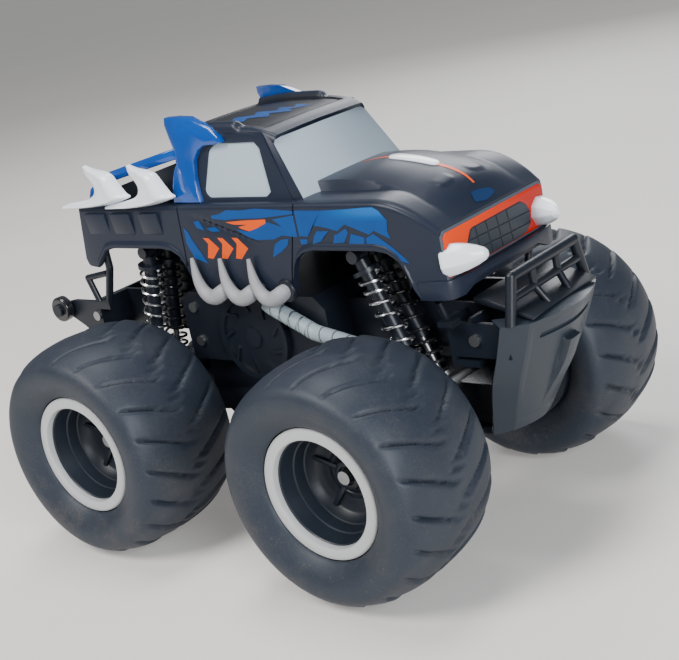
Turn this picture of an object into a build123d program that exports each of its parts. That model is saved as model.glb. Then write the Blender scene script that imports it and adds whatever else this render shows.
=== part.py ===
from build123d import *
import math
import os

# Radio-controlled monster truck. +X is forward, +Y is the left side, +Z is up.
# The origin lies on the ground, midway between the two axles.

# Driving dimensions, in millimetres and degrees
HALF_LENGTH = 154.0
WHEELBASE = 156.0
WHEEL_R = 56.0
TYRE_MID_Y = 78.0
TYRE_WIDTH = 64.0
TYRE_WALL = 2.0
BEAD_R = 31.0
RING_BORE_R = 25.0
BOLT_HEAD_R = 3.2
BODY_HALF_W = 44.0
WALL = 2.0
CAB_LOW_HALF_W = 39.6
CAB_HIGH_HALF_W = 33.8
BELT_Z = 166.0
SILL_Z = 120.0
ROOF_Z = 198.0
HULL_BOTTOM_Z = 50.0
HULL_SPLIT_Z = 82.0
HULL_TOP_Z = 118.0
TUB_HALF_W = 27.0
COVER_HALF_W = 34.0
PIVOT_X = 16.0
PIVOT_Z = 62.0
PIVOT_PIN_R = 2.5
SHAFT_R = 3.0
RUNNING_CLEARANCE = 0.05
KING_PIN_Y = 52.0
STEER_ARM = 16.0
HORN_ARM = 12.0
FRONT_SHOCK_TOP = (67.0, 140.0)
FRONT_SHOCK_EYE = (93.5, 72.0)
REAR_SHOCK_TOP = (-71.0, 140.5)
REAR_SHOCK_EYE = (-84.0, 72.0)
OUTER_SHOCK_Y = 36.5
INNER_SHOCK_Y = 23.6
SHOCK_PIN_R = 1.5
SPRING_MEAN_R = 5.4
SPRING_WIRE_R = 0.7
SPRING_SEAT_R = 6.2
GEAR_MODULE = 0.7
GEAR_TEETH = 40
PINION_TEETH = 16
MOTOR_R = 10.0
WHEELIE_X = -147.0
WHEELIE_Y = (39.0, 44.2)
WHEELIE_Z = 108.0
WHEELIE_R = 7.0

AXLE_X = WHEELBASE / 2
AXLE_Z = WHEEL_R
SIDES = (-1, 1)


def face_xz(points):
    """A face in the plane y = 0 from (x, z) corners."""
    wire = Polyline(*[(x, 0, z) for x, z in points], close=True)
    return make_face(wire)


def slab_y(points, y_from, y_to):
    """A plate of the (x, z) outline between two y values."""
    solid = extrude(face_xz(points), amount=y_to - y_from, dir=(0, 1, 0))
    return Pos(0, y_from, 0) * solid


def box(x, y, z):
    """A box from its (low, high) pairs."""
    size = (x[1] - x[0], y[1] - y[0], z[1] - z[0])
    return Pos((x[0] + x[1]) / 2, (y[0] + y[1]) / 2, (z[0] + z[1]) / 2) * Box(*size)


def rod_y(radius, x, z, y_from, y_to):
    """A cylinder along Y."""
    middle = (y_from + y_to) / 2
    return Pos(x, middle, z) * Rot(90, 0, 0) * Cylinder(radius, abs(y_to - y_from))


def rod_z(radius, x, y, z_from, z_to):
    """A cylinder along Z."""
    return Pos(x, y, (z_from + z_to) / 2) * Cylinder(radius, z_to - z_from)


def rod(start, end, radius):
    """A cylinder between two points."""
    line = Vector(*end) - Vector(*start)
    plane = Plane(origin=start, z_dir=line)
    return plane * Cylinder(radius, line.length, align=(Align.CENTER, Align.CENTER, Align.MIN))


def tube_run(points, radius):
    """Round tube through points, with ball joints at its corners."""
    run = rod(points[0], points[1], radius)
    for start, end in zip(points[1:-1], points[2:]):
        run += Pos(*start) * Sphere(radius)
        run += rod(start, end, radius)
    return run


def mirrored(shape):
    """A right-hand shape and its left-hand twin."""
    return [shape, mirror(shape, about=Plane.XZ)]


def write(name, solids):
    """Write one node."""
    flat = []
    for solid in solids:
        flat.extend(solid.solids())
    shape = flat[0] if len(flat) == 1 else Compound(children=flat)
    shape.label = name
    export_step(shape, f"parts/{name}.step")


# ---------------------------------------------------------------- body shell

ARCH_REAR = [(-130, SILL_Z), (-130, 133), (-104, 133), (-99, 139), (-94, 143.5), (-47.5, 143.5), (-38, 139),
             (-33, SILL_Z)]
ARCH_FRONT = [(32, SILL_Z), (36, 137), (42, 143.5), (90, 143.5), (97.5, 137), (103, SILL_Z)]


def lower_outline(inset):
    """Side outline of the lower body, drawn in by the inset."""
    low = SILL_Z - 10 if inset else SILL_Z
    return [
        (-109 + inset, low),
        (-114.5 + inset, 136),
        (-109.5 + inset, BELT_Z - inset),
        (95 - inset, BELT_Z - inset),
        (106 - inset, 160 - inset),
        (117 - inset, 151 - inset),
        (117 - inset, 122),
        (113 - inset, low),
    ]


def plan_taper(inset):
    """Plan outline of the body, narrower towards the nose and the tail."""
    half = BODY_HALF_W - inset
    nose = half - 3
    points = [(-120, half - 2), (-100, half), (90, half), (120, nose)]
    corners = points + [(x, -y) for x, y in reversed(points)]
    wire = Polyline(*[(x, y, 0) for x, y in corners], close=True)
    return Pos(0, 0, 100) * extrude(make_face(wire), amount=110, dir=(0, 0, 1))


def hood_bulge(inset):
    """Raised centre of the hood."""
    outline = [(40, 150), (40, 172 - inset), (66, 174 - inset), (92, 170 - inset), (112 - inset, 158 - inset)]
    outline.append((112 - inset, 150))
    return slab_y(outline, -28 + inset, 28 - inset)


def cabin(inset):
    """Tapered cab between the belt line and the roof."""
    low_half = CAB_LOW_HALF_W - inset
    high_half = CAB_HIGH_HALF_W - inset
    low = Plane.XY.offset(BELT_Z - 6)
    high = Plane.XY.offset(ROOF_Z - inset)
    low_x = (-37 + inset, 48.5 - inset)
    high_x = (-31 + inset, 24.5 - inset)
    base = low * Pos((low_x[0] + low_x[1]) / 2, 0) * Rectangle(low_x[1] - low_x[0], 2 * low_half)
    roof = high * Pos((high_x[0] + high_x[1]) / 2, 0) * Rectangle(high_x[1] - high_x[0], 2 * high_half)
    return loft([base, roof], ruled=True)


def body_solid(inset):
    """The whole body as one solid, drawn in by the inset."""
    lower = slab_y(lower_outline(inset), -60, 60) & plan_taper(inset)
    return lower + hood_bulge(inset) + cabin(inset)


SIDE_WINDOW = [(-19, 170.5), (-16.5, 168), (21.5, 168), (23.8, 170), (19.4, 190), (17, 192.5), (-9, 192.5), (-13, 190)]
WINDSHIELD_PLAN = 35.0


def window_cutters(gap):
    """Prisms through the side windows and the windshield, smaller by the gap."""
    side = extrude(offset(face_xz(SIDE_WINDOW), -gap, kind=Kind.INTERSECTION), amount=120, dir=(0, 1, 0))
    side = Pos(0, -60, 0) * side
    half = WINDSHIELD_PLAN - gap
    front = box((20, 70), (-half, half), (174 + gap, 191.5 - gap))
    return side, front


def make_body_shell():
    shell = body_solid(0) - body_solid(WALL)
    shell -= box((-200, 200), (-60, 60), (SILL_Z - 20, SILL_Z))
    for arch in (ARCH_REAR, ARCH_FRONT):
        shell -= slab_y([(x, z - 0.1 if z == SILL_Z else z) for x, z in arch], -60, 60)
    side, front = window_cutters(0)
    shell -= side
    shell -= front
    # front wall behind the grille panel, with a recess for it
    shell += box((109, 114), (-39, 39), (129.5, 152))
    shell -= box((114, 120), (-40.5, 40.5), (131, 150.5))
    # bulkheads that stand on the hull and carry the body
    for x in (-31.0, 29.0):
        shell += box((x - 1, x + 1), (-42.3, 42.3), (HULL_TOP_Z, BELT_Z - 1))
    for x in (-60.0, 62.0):
        shell -= box((x - 6, x + 6), (-60, 60), (100, 119))
    return shell


def make_windows():
    skin = cabin(0) - cabin(1.6)
    skin -= box((-60, 60), (-60, 60), (BELT_Z - 10, BELT_Z + 1.5))
    side, front = window_cutters(0.1)
    return (skin & side).solids() + (skin & front).solids()


FIN_OUTLINE = [(-38.5, 207), (-16, 206), (-6, 200.5), (-1.6, 194), (-13, 193), (-21, 190), (-23, BELT_Z + 0.2),
               (-36, BELT_Z + 0.2), (-33, 185), (-34.5, 191)]
BAR_OUTLINE = [(-30, 192.8), (-30, 187), (-98, 166.6), (-103, 170.5)]


def tilted_slab(inner, outer):
    """Slab that leans inwards like the side of the cab."""
    slope = 5.8 / 38.0
    low = BELT_Z - 6
    high = 212.0
    lean = slope * (high - low)
    corners = [(inner, low), (outer, low), (outer - lean, high), (inner - lean, high)]
    wire = Polyline(*[(-120, y, z) for y, z in corners], close=True)
    return extrude(make_face(wire), amount=160, dir=(1, 0, 0))


def make_rollbar_fins():
    outline = slab_y(FIN_OUTLINE, 20, 60) + slab_y(BAR_OUTLINE, 20, 60)
    piece = outline & tilted_slab(39.75, 43.4)
    return mirrored(piece)


def make_bed_cover():
    outline = [(-38, BELT_Z), (-38, 184.5), (-60, 179.5), (-88, 173), (-106, 169), (-106, BELT_Z)]
    inner = [(-40, BELT_Z - 1), (-40, 182), (-60, 177.4), (-88, 171), (-104, 167.4), (-104, BELT_Z - 1)]
    return [slab_y(outline, -35.2, 35.2) - slab_y(inner, -33.2, 33.2)]


def make_grille_panel():
    panel = box((114, 116), (-40.3, 40.3), (131.2, 150.3))
    panel -= box((113, 117), (-24.5, 24.5), (133, 146))
    return [panel]


def make_grille_mesh():
    mesh = box((114, 116.4), (-24.3, 24.3), (133.2, 145.8))
    for column in range(1, 6):
        y = -24.3 + 8.1 * column
        mesh -= box((115.7, 117), (y - 0.4, y + 0.4), (130, 150))
    for z in (137.4, 141.6):
        mesh -= box((115.7, 117), (-30, 30), (z - 0.4, z + 0.4))
    return [mesh]


def make_headlight_spikes():
    direction = Vector(16, 7.6, 1)
    base = Plane(origin=(112, -36.9, 137.8), z_dir=direction)
    profile = [base * Circle(7.6), base.offset(12) * Circle(6.5), base.offset(20.5) * Circle(2.2)]
    spike = loft(profile, ruled=True) - box((100, 116.05), (-60, 60), (100, 180))
    spike -= box((100, 118.5), (-60, -40.0), (100, 180))
    spike -= box((100, 117.1), (-60, 0), (100, 131.1))
    return mirrored(spike)


REAR_HORN = [(-75.7, 184.4), (-84, 185), (-93.5, 187.5), (-88, 181), (-88.5, 173), (-94, 170.5), (-114, 168.5),
             (-113, 166.3), (-66, 166.3), (-66, 171.3)]
FRONT_HORN = [(-43, 183.2), (-50, 184), (-60, 187), (-55, 180.5), (-54.5, 174), (-60, 170.5), (-79.5, 168.3),
              (-78.5, 166.3), (-32.5, 166.3), (-32.5, 170)]


def make_bed_horns():
    horns = []
    for outline in (REAR_HORN, FRONT_HORN):
        shifted = [(x + (1.2 if outline is FRONT_HORN else 0), z) for x, z in outline]
        horns.append(slab_y(shifted, -49.5, -43.8))
    return mirrored(horns[0]) + mirrored(horns[1])


TUSK_BASES = (-12.4, 6.6, 25.6)


def tusk(base_x):
    """Curved tusk whose thick root is pegged to the sill."""
    y = -BODY_HALF_W - 3.1
    arc = ThreePointArc((base_x, y, 124.5), (base_x - 11, y, 121.5), (base_x - 16.7, y, 138.5))
    return sweep(arc.location_at(0) * Circle(2.9), path=arc) + rod_y(2.9, base_x, 124.5, -BODY_HALF_W - 0.05, y)


def make_side_tusks():
    pieces = []
    for base_x in TUSK_BASES:
        pieces.extend(mirrored(tusk(base_x)))
    return pieces


def make_hood_insert():
    outline = [(66, 174.05), (92, 170.05), (92, 171.5), (79, 174.2), (66, 175.4)]
    return [slab_y(outline, -3.4, 3.4)]


# ------------------------------------------------------------------- chassis

HULL_X = (-58.0, 38.0)
FRAME_HALF_W = 17.0
FRAME_Z = (90.5, 112.0)
SCREW_R = 1.2
HULL_SCREWS = ((-50.0, 92.0), (-50.0, 110.0), (30.0, 88.0))


def screw_y(x, z, y_face, side, length=5.0):
    """Pan-head screw driven inwards through a side face."""
    head = rod_y(2.6, x, z, side * y_face, side * (y_face + 1.3))
    return head + rod_y(SCREW_R, x, z, side * (y_face - length), side * y_face)


def screw_holes(solid, places, y_face, length=5.6):
    """Clearance holes for side screws."""
    for x, z in places:
        for side in SIDES:
            solid -= rod_y(SCREW_R + 0.1, x, z, side * (y_face - length), side * (y_face + 1))
    return solid


def make_hull_tub():
    tub = box((-56, 52), (-TUB_HALF_W, TUB_HALF_W), (HULL_BOTTOM_Z, HULL_SPLIT_Z))
    tub = chamfer(tub.edges().filter_by(Axis.Y).group_by(Axis.Z)[0], 9)
    tub -= box((-54, 50), (-TUB_HALF_W + WALL, TUB_HALF_W - WALL), (HULL_BOTTOM_Z + 10.5, HULL_SPLIT_Z + 1))
    tub -= box((-44, 40), (-TUB_HALF_W + WALL, TUB_HALF_W - WALL), (HULL_BOTTOM_Z + WALL, HULL_SPLIT_Z))
    tub -= box((-30.1, 30.1), (-18.1, 18.1), (HULL_BOTTOM_Z - 1, HULL_BOTTOM_Z + WALL + 1))
    tub -= box((-42, -33), (-4.5, 4.5), (HULL_BOTTOM_Z - 1, HULL_BOTTOM_Z + WALL + 1))
    for x in (-PIVOT_X, PIVOT_X):
        tub -= rod_y(PIVOT_PIN_R + 0.1, x, PIVOT_Z, -40, 40)
    return [tub]


def make_hull_cover():
    half = COVER_HALF_W
    cover = box(HULL_X, (-half, half), (HULL_SPLIT_Z, HULL_TOP_Z))
    cover = chamfer(cover.edges().filter_by(Axis.Y).group_by(Axis.Z)[-1], 6)
    inner = box((HULL_X[0] + WALL, HULL_X[1] - WALL), (-half + WALL, half - WALL), (80, HULL_TOP_Z - WALL))
    inner = chamfer(inner.edges().filter_by(Axis.Y).group_by(Axis.Z)[-1], 6)
    cover -= inner
    # floor flange that sits on the tub's rim
    for side in SIDES:
        y = sorted((side * (TUB_HALF_W - WALL), side * half))
        cover += box(HULL_X, y, (HULL_SPLIT_Z, HULL_SPLIT_Z + WALL))
    cover += box((36, 54), (-TUB_HALF_W, TUB_HALF_W), (HULL_SPLIT_Z, HULL_SPLIT_Z + WALL))
    # central frame rails fore and aft
    for x in ((HULL_X[1] - 0.1, 118.0), (-122.0, HULL_X[0] + 0.1)):
        rail = box(x, (-FRAME_HALF_W, FRAME_HALF_W), FRAME_Z)
        rail -= box((x[0] - 1, x[1] + 1), (-FRAME_HALF_W + WALL, FRAME_HALF_W - WALL), (FRAME_Z[0] + WALL, 130))
        cover += rail
    cover = screw_holes(cover, HULL_SCREWS, half)
    return [cover]


def make_side_discs():
    disc = rod_y(22, -9, 97, -COVER_HALF_W - 3.8, -COVER_HALF_W)
    disc -= rod_y(19, -9, 97, -COVER_HALF_W - 4, -COVER_HALF_W - 2.6)
    disc += rod_y(5, -9, 97, -COVER_HALF_W - 3.8, -COVER_HALF_W - 2)
    for blade in range(9):
        turn = Pos(-9, 0, 97) * Rot(0, 40 * blade, 0) * Pos(9, -3.2 - COVER_HALF_W, 14)
        disc += turn * Box(1.6, 1.2, 9) & rod_y(20, -9, 97, -60, 0)
    disc -= box((-60, 60), (-60, 0), (60, 75.5))
    return mirrored(disc)


PIPE_ROUTE = [(6.0, -38.3, 115.2), (33.0, -38.0, 102.0), (50.0, -30.0, 93.5)]


def make_side_pipes():
    pipe = tube_run(PIPE_ROUTE, 3.9)
    for step in range(4):
        start = Vector(*PIPE_ROUTE[0])
        end = Vector(*PIPE_ROUTE[1])
        spot = start + (end - start) * (0.35 + 0.18 * step)
        ring = Plane(origin=spot, z_dir=end - start)
        pipe -= ring * (Cylinder(6, 0.8) - Cylinder(3.5, 2))
    pipe -= rod_y(22.5, -9, 97, -60, 0)
    pipe -= box((-20, HULL_X[1] + 0.2), (-COVER_HALF_W - 0.1, 0), (60, 130))
    return mirrored(pipe)


def shock_tower(top, leg_x):
    """Tower on the central frame that carries the upper shock pins."""
    x, z = top
    tower = box((x - 7, x + 7), (-33, 33), (z + 5, z + 9))
    tower += box((x - 6, x + 6), (-16.5, 16.5), (HULL_TOP_Z - 6, z + 6))
    tower -= box((x - 10, x + 10), (-12.5, 12.5), (HULL_TOP_Z - 2, z + 1))
    tower += box(sorted((leg_x, x)), (-FRAME_HALF_W, FRAME_HALF_W), (FRAME_Z[1], FRAME_Z[1] + 2.5))
    for side in SIDES:
        for y in (17.5, 31.0):
            tower += Pos(x, side * y, z + 2.5) * Box(7, 2.4, 6)
            tower += rod_y(3.5, x, z - 1, side * (y - 1.2), side * (y + 1.2))
            tower -= rod_y(SHOCK_PIN_R + 0.1, x, z, side * (y - 3), side * (y + 3))
    return tower


def make_suspension_pins():
    pins = []
    for x in (-PIVOT_X, PIVOT_X):
        pin = rod_y(PIVOT_PIN_R, x, PIVOT_Z, -33.6, 33.6)
        for side in SIDES:
            pin += rod_y(4, x, PIVOT_Z, side * 33.5, side * 35)
        pins.append(pin)
    for x, z in (FRONT_SHOCK_TOP, REAR_SHOCK_TOP):
        for side in SIDES:
            pin = rod_y(SHOCK_PIN_R, x, z, side * 16.6, side * 40.2)
            pin += rod_y(3.0, x, z, side * 40, side * 41.4)
            pins.append(pin)
    return pins


def make_battery_pack():
    cells = [rod((-26, y, 73.5), (26, y, 73.5), 7.2) for y in (-14.6, 0, 14.6)]
    return cells


def make_battery_door():
    door = box((-30, 30), (-18, 18), (HULL_BOTTOM_Z, HULL_BOTTOM_Z + WALL))
    door -= rod_z(SCREW_R + 0.1, 26, 0, HULL_BOTTOM_Z - 1, HULL_BOTTOM_Z + 5)
    for x in range(-20, 21, 8):
        door -= box((x - 1, x + 1), (-12, 12), (HULL_BOTTOM_Z - 1, HULL_BOTTOM_Z + 0.6))
    return [door]


def make_control_board():
    board = box((-40, 20), (-22, 22), (93, 94.6))
    for x, y, width, height in ((-30, 10, 10, 2), (-10, -8, 12, 2), (8, 6, 8, 6), (-28, -12, 7, 9)):
        board += box((x, x + width), (y, y + width * 0.7), (94.6, 94.6 + height))
    posts = [rod_z(2.0, x, y, HULL_SPLIT_Z + WALL, 93) for x in (-36, 16) for y in (-28, 28)]
    ears = [box((x - 3, x + 3), sorted((side * 21, side * 30)), (93, 94.6)) for x in (-36, 16) for side in SIDES]
    for ear in ears:
        board += ear
    for post in posts:
        board += post
    return [board]


def make_power_switch():
    knob = box((-41, -37), (-3, 3), (HULL_BOTTOM_Z + 0.4, HULL_BOTTOM_Z + 5))
    knob += box((-43.5, -34.5), (-4.2, 4.2), (HULL_BOTTOM_Z + 2.3, HULL_BOTTOM_Z + 3.6))
    return [knob]


def make_chassis_screws():
    screws = []
    for side in SIDES:
        for x, z in HULL_SCREWS:
            screws.append(screw_y(x, z, COVER_HALF_W, side))
        screws.append(screw_y(118, 100, 31.0, side))
        screws.append(screw_y(-122, 104, 38.5, side))
    return screws


def make_front_bracket():
    bracket = box((104, 106.5), (-31, 31), (92, 110))
    bracket -= box((100, 110), (-FRAME_HALF_W - 0.1, FRAME_HALF_W + 0.1), (FRAME_Z[0] - 0.1, 120))
    for side in SIDES:
        y = sorted((side * 28.5, side * 31))
        bracket += box((104, 135), y, (92, 107.8))
        flange = sorted((side * 17.1, side * 31))
        bracket += box((116, 118), flange, (92, 110))
    bracket += box((104, 118), (-31, 31), (FRAME_Z[0] - 3.1, FRAME_Z[0] - 0.1))
    bracket += box((104, 106.5), (-31, -17.2), (87.4, 93))
    bracket += box((104, 106.5), (17.2, 31), (87.4, 93))
    bracket = screw_holes(bracket, ((118, 100),), 31.0)
    struts = []
    for side in SIDES:
        struts.append(rod((107, side * 33.4, 110.2), (107, side * 37, 119.6), 1.8))
    bracket += box((104, 112), (-37, -30.9), (107.5, 110))
    bracket += box((104, 112), (30.9, 37), (107.5, 110))
    for strut in struts:
        bracket += strut
    bracket -= box((90, 120), (-50, 50), (SILL_Z - 0.1, 130))
    return [bracket]


def plan_section(z, back, points):
    """Bow-shaped plan section at one height."""
    corners = [(back, -points[0][1])] + [(x, -y) for x, y in points] + [(x, y) for x, y in reversed(points)]
    corners = corners[1:] + [(back, points[0][1]), (back, -points[0][1])]
    cleaned = []
    for corner in corners:
        if not cleaned or corner != cleaned[-1]:
            cleaned.append(corner)
    return make_face(Polyline(*[(x, y, z) for x, y in cleaned], close=True))


# height of each section of the skid plate and its (x, y) corners, from the wing to the prow
SKID_LEVELS = (
    (52, ((113, 24), (120, 18), (125, 3))),
    (78, ((122, 32.5), (131.5, 26.5), (139.5, 3))),
    (94, ((128, 34), (138.5, 28.5), (144, 3))),
    (108, ((133, 35), (144, 29.5), (HALF_LENGTH, 3))),
)
SKID_BACK_X = 108
SKID_REAR_EDGE = ((90, 120), (129.5, 120), (126, 94), (118, 77), (112, 62), (108, 48), (90, 48))


def skid_body(shift, pull, trim):
    """Skid plate as one block, moved back by shift, narrowed by pull and cut short by trim."""
    sections = []
    for z, corners in SKID_LEVELS:
        moved = [(x - shift, y - pull) for x, y in corners[:2]] + [(corners[2][0] - shift, corners[2][1])]
        height = z - trim if z == SKID_LEVELS[-1][0] else z
        sections.append(plan_section(height, SKID_BACK_X, moved))
    body = loft(sections[:2], ruled=True)
    for low, high in zip(sections[1:], sections[2:]):
        body += loft([low, high], ruled=True)
    return body


def make_skid_plate():
    plate = skid_body(0, 0, 0) - skid_body(4, 3, 3)
    plate -= slab_y(SKID_REAR_EDGE, -60, 60)
    plate -= box((100, 137), (-31.2, 31.2), (90, 120))
    plate += box((131, 136.5), (-28.3, 28.3), (92, 104))
    plate += box((138, 145.5), (-5, 5), (76, 92))
    plate -= box((100, 160), (-60, 60), (108, 120))
    for side in SIDES:
        plate -= box((110, 160), sorted((side * 3.5, side * 12)), (57, 64))
        plate -= box((138, 160), sorted((side * 4, side * 21)), (98.4, 100.6))
    return [plate.solids().sort_by(SortBy.VOLUME)[-1]]


def make_bull_bar():
    tube = 2.4
    bar = tube_run([(138, -33, 104), (138, -26, 127.5), (138, 26, 127.5), (138, 33, 104)], tube)
    bar += rod((138, -28.5, 118.5), (138, 28.5, 118.5), 1.9)
    for y in (-10, 10):
        bar += rod((138, y, 127.5), (138, y, 118.5), 1.7)
        bar += rod((138, y, 118.5), (147.5, y * 0.75, 104), 1.7)
        bar += Pos(138, y, 118.5) * Sphere(1.9)
    bar -= box((120, 170), (-60, 60), (90, 108))
    return [bar]


def make_rear_bracket():
    bracket = box((-124, -119.5), (-38.5, 38.5), (96, 112))
    bracket -= box((-130, -119), (-FRAME_HALF_W - 0.1, FRAME_HALF_W + 0.1), (FRAME_Z[0] - 0.1, 120))
    bracket += box((-124, -122.1), (-38.5, 38.5), (92, 112))
    for side in SIDES:
        plate = [(-119, 96), (-119, 112), (-140, 112), (-151, 110), (-151, 106), (-136, 98), (-130, 94)]
        y = sorted((side * 36, side * 38.5))
        bracket += slab_y(plate, *y)
        bracket += rod_y(1.5, WHEELIE_X, WHEELIE_Z, side * 38.4, side * 45.0)
        bracket += rod_y(3.4, WHEELIE_X, WHEELIE_Z, side * 44.5, side * 46.0)
        points = [(-112, 110), (-104, 131), (-104, 142)]
        post = tube_run([(x, side * 37.2, z) for x, z in points], 2.0)
        loop = tube_run([(x, side * 37.2, z) for x, z in ((-119, 111), (-124, 125), (-107, 128))], 1.7)
        bracket += post + loop
        bracket += box((-123, -110), sorted((side * 35, side * 39)), (108, 112))
    bracket -= box((-130, -100), (-60, 60), (141.4, 150))
    bracket = screw_holes(bracket, ((-122, 104),), 38.5)
    return [bracket]


def make_wheelie_wheel(side):
    wheel = rod_y(WHEELIE_R, WHEELIE_X, WHEELIE_Z, side * WHEELIE_Y[0], side * WHEELIE_Y[1])
    wheel = fillet(wheel.edges().filter_by(GeomType.CIRCLE), 1.2)
    wheel -= rod_y(1.5 + RUNNING_CLEARANCE, WHEELIE_X, WHEELIE_Z, side * 30, side * 50)
    return [wheel]


# -------------------------------------------------------------------- wheels


def superellipse(half_y, half_r, mid_r, count=28):
    """Closed (y, r) outline of a balloon tyre's section."""
    power = 2 / 2.6
    points = []
    for step in range(count):
        angle = 2 * math.pi * step / count
        cos_a = math.cos(angle)
        sin_a = math.sin(angle)
        y = math.copysign(abs(cos_a) ** power, cos_a) * half_y
        r = mid_r + math.copysign(abs(sin_a) ** power, sin_a) * half_r
        points.append((TYRE_MID_Y + y, r))
    return points


def wheel_turned(points, x, side):
    """Revolve (y, r) corners about the wheel axis, on one side of the truck."""
    face = make_face(Polyline(*[(0, side * y, r) for y, r in points], close=True))
    return Pos(x, 0, AXLE_Z) * revolve(face, axis=Axis.Y, revolution_arc=360)


def smooth_turned(points, x, side):
    """Revolve a smooth closed curve through (y, r) points."""
    curve = Spline(*[(0, side * y, r) for y, r in points], periodic=True)
    return Pos(x, 0, AXLE_Z) * revolve(make_face(curve), axis=Axis.Y, revolution_arc=360)


def make_tyre(x, side):
    half_r = (WHEEL_R - BEAD_R) / 2
    mid_r = (WHEEL_R + BEAD_R) / 2
    outer = smooth_turned(superellipse(TYRE_WIDTH / 2, half_r, mid_r), x, side)
    inner = smooth_turned(superellipse(TYRE_WIDTH / 2 - TYRE_WALL, half_r - TYRE_WALL, mid_r), x, side)
    tyre = outer - inner
    tyre -= wheel_turned([(58, 0.5), (58, 38), (98, 38), (98, 0.5)], x, side)
    for start, end in ((55, 58.5), (97.5, 103)):
        corners = [(start, BEAD_R), (end, BEAD_R), (end, BEAD_R + 4.6), (start, BEAD_R + 4.6)]
        tyre += wheel_turned(corners, x, side)
    return [tyre.solids().sort_by(SortBy.VOLUME)[-1]]


def make_rim(x, side, bore):
    barrel_r = BEAD_R - 0.1
    corners = [(49, barrel_r), (101, barrel_r), (101, RING_BORE_R), (98, RING_BORE_R), (96, 27.5), (83, 27.5), (83, 7), (84, 7),
               (84, bore), (71, bore), (71, 7), (80, 7), (80, 27.5), (49, 27.5)]
    rim = wheel_turned(corners, x, side)
    for spoke in range(5):
        rib = Pos(x, side * 85, AXLE_Z) * Rot(0, 72 * spoke, 0) * Pos(0, 0, 17) * Box(2.4, 4.2, 20.6)
        rim += rib
    return [rim]


def make_ring(x, side):
    corners = [(101, RING_BORE_R), (103.6, RING_BORE_R), (104, RING_BORE_R + 0.6), (104, 29.8), (103.4, BEAD_R - 0.2), (101, BEAD_R - 0.2)]
    return [wheel_turned(corners, x, side)]


# ---------------------------------------------------------------- front axle


def bar_between(start, end, radius, y_from, y_to):
    """Round-ended flat bar between two (x, z) points."""
    dx = end[0] - start[0]
    dz = end[1] - start[1]
    length = math.hypot(dx, dz)
    angle = math.degrees(math.atan2(dz, dx))
    flat = Rot(0, -angle, 0) * Box(length, y_to - y_from, 2 * radius)
    bar = Pos((start[0] + end[0]) / 2, (y_from + y_to) / 2, (start[1] + end[1]) / 2) * flat
    for x, z in (start, end):
        bar += rod_y(radius, x, z, y_from, y_to)
    return bar


def swing_arms(pivot_x, axle_x, eye, sides=SIDES):
    """Pair of side arms from the hull pivot past the axle to the shock pegs."""
    arms = []
    for side in sides:
        y = sorted((side * 29.0, side * 32.6))
        arm = bar_between((pivot_x, PIVOT_Z), (axle_x, AXLE_Z), 5.2, *y)
        arm += rod_y(6.4, pivot_x, PIVOT_Z, *y)
        arm += bar_between((axle_x, AXLE_Z), (eye[0], eye[1] - 0.4), 3.6, *y)
        arm += rod_y(SHOCK_PIN_R, eye[0], eye[1], side * 20.2, side * 40.4)
        arm -= rod_y(PIVOT_PIN_R + RUNNING_CLEARANCE, pivot_x, PIVOT_Z, side * 20, side * 40)
        arms.append(arm)
    return arms


def make_front_axle_beam():
    beam = box((72, 84), (-29.5, 29.5), (51, 62))
    beam += Pos(AXLE_X, 0, AXLE_Z) * Rot(90, 0, 0) * Cylinder(11, 30)
    for arm in swing_arms(PIVOT_X, AXLE_X, FRONT_SHOCK_EYE):
        beam += arm
    for side in SIDES:
        plate = sorted((side * 32.5, side * 45))
        beam += box((73, 83), plate, (51, 62))
        plate = sorted((side * 43, side * 45.5))
        beam += box((71.5, 84.5), plate, (39.7, 72.3))
        for z in (39.7, 68.3):
            ear = rod_z(6.5, AXLE_X, side * KING_PIN_Y, z, z + 4)
            ear += box((71.5, 84.5), sorted((side * 44, side * KING_PIN_Y)), (z, z + 4))
            ear -= rod_z(SHAFT_R + RUNNING_CLEARANCE, AXLE_X, side * KING_PIN_Y, z - 1, z + 5)
            beam += ear
    beam += box((84, 89.2), (-10, 10), (51, 62))
    return [beam]


def make_steering_servo():
    servo = box((89.3, 112), (-10, 10), (51, 70))
    servo = fillet(servo.edges().filter_by(Axis.Z), 2)
    servo -= rod_z(2.0 + RUNNING_CLEARANCE, AXLE_X + STEER_ARM + HORN_ARM, 0, 50, 58)
    return [servo]


def make_servo_horn():
    x = AXLE_X + STEER_ARM + HORN_ARM
    horn = rod_z(4, x, 0, 47.6, 49.6)
    horn += rod_z(2.0, x, 0, 49.5, 57.5)
    horn += box((AXLE_X + STEER_ARM, x), (-2.4, 2.4), (47.6, 49.6))
    horn += rod_z(2.4, AXLE_X + STEER_ARM, 0, 47.6, 49.6)
    horn += rod_z(1.5, AXLE_X + STEER_ARM, 0, 42.6, 47.7)
    return [horn]


def make_tie_rod():
    x = AXLE_X + STEER_ARM
    link = box((x - 2.5, x + 2.5), (-KING_PIN_Y, KING_PIN_Y), (43, 46.6))
    link += box((x - 6, x + 6), (-6, 6), (43, 46.6))
    link -= box((x - 3.2, x + 3.2), (-1.95, 1.95), (40, 50))
    for side in SIDES:
        link += rod_z(4.4, x, side * KING_PIN_Y, 43, 46.6)
        link -= rod_z(2.3, x, side * KING_PIN_Y, 40, 50)
    return [link]


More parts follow.
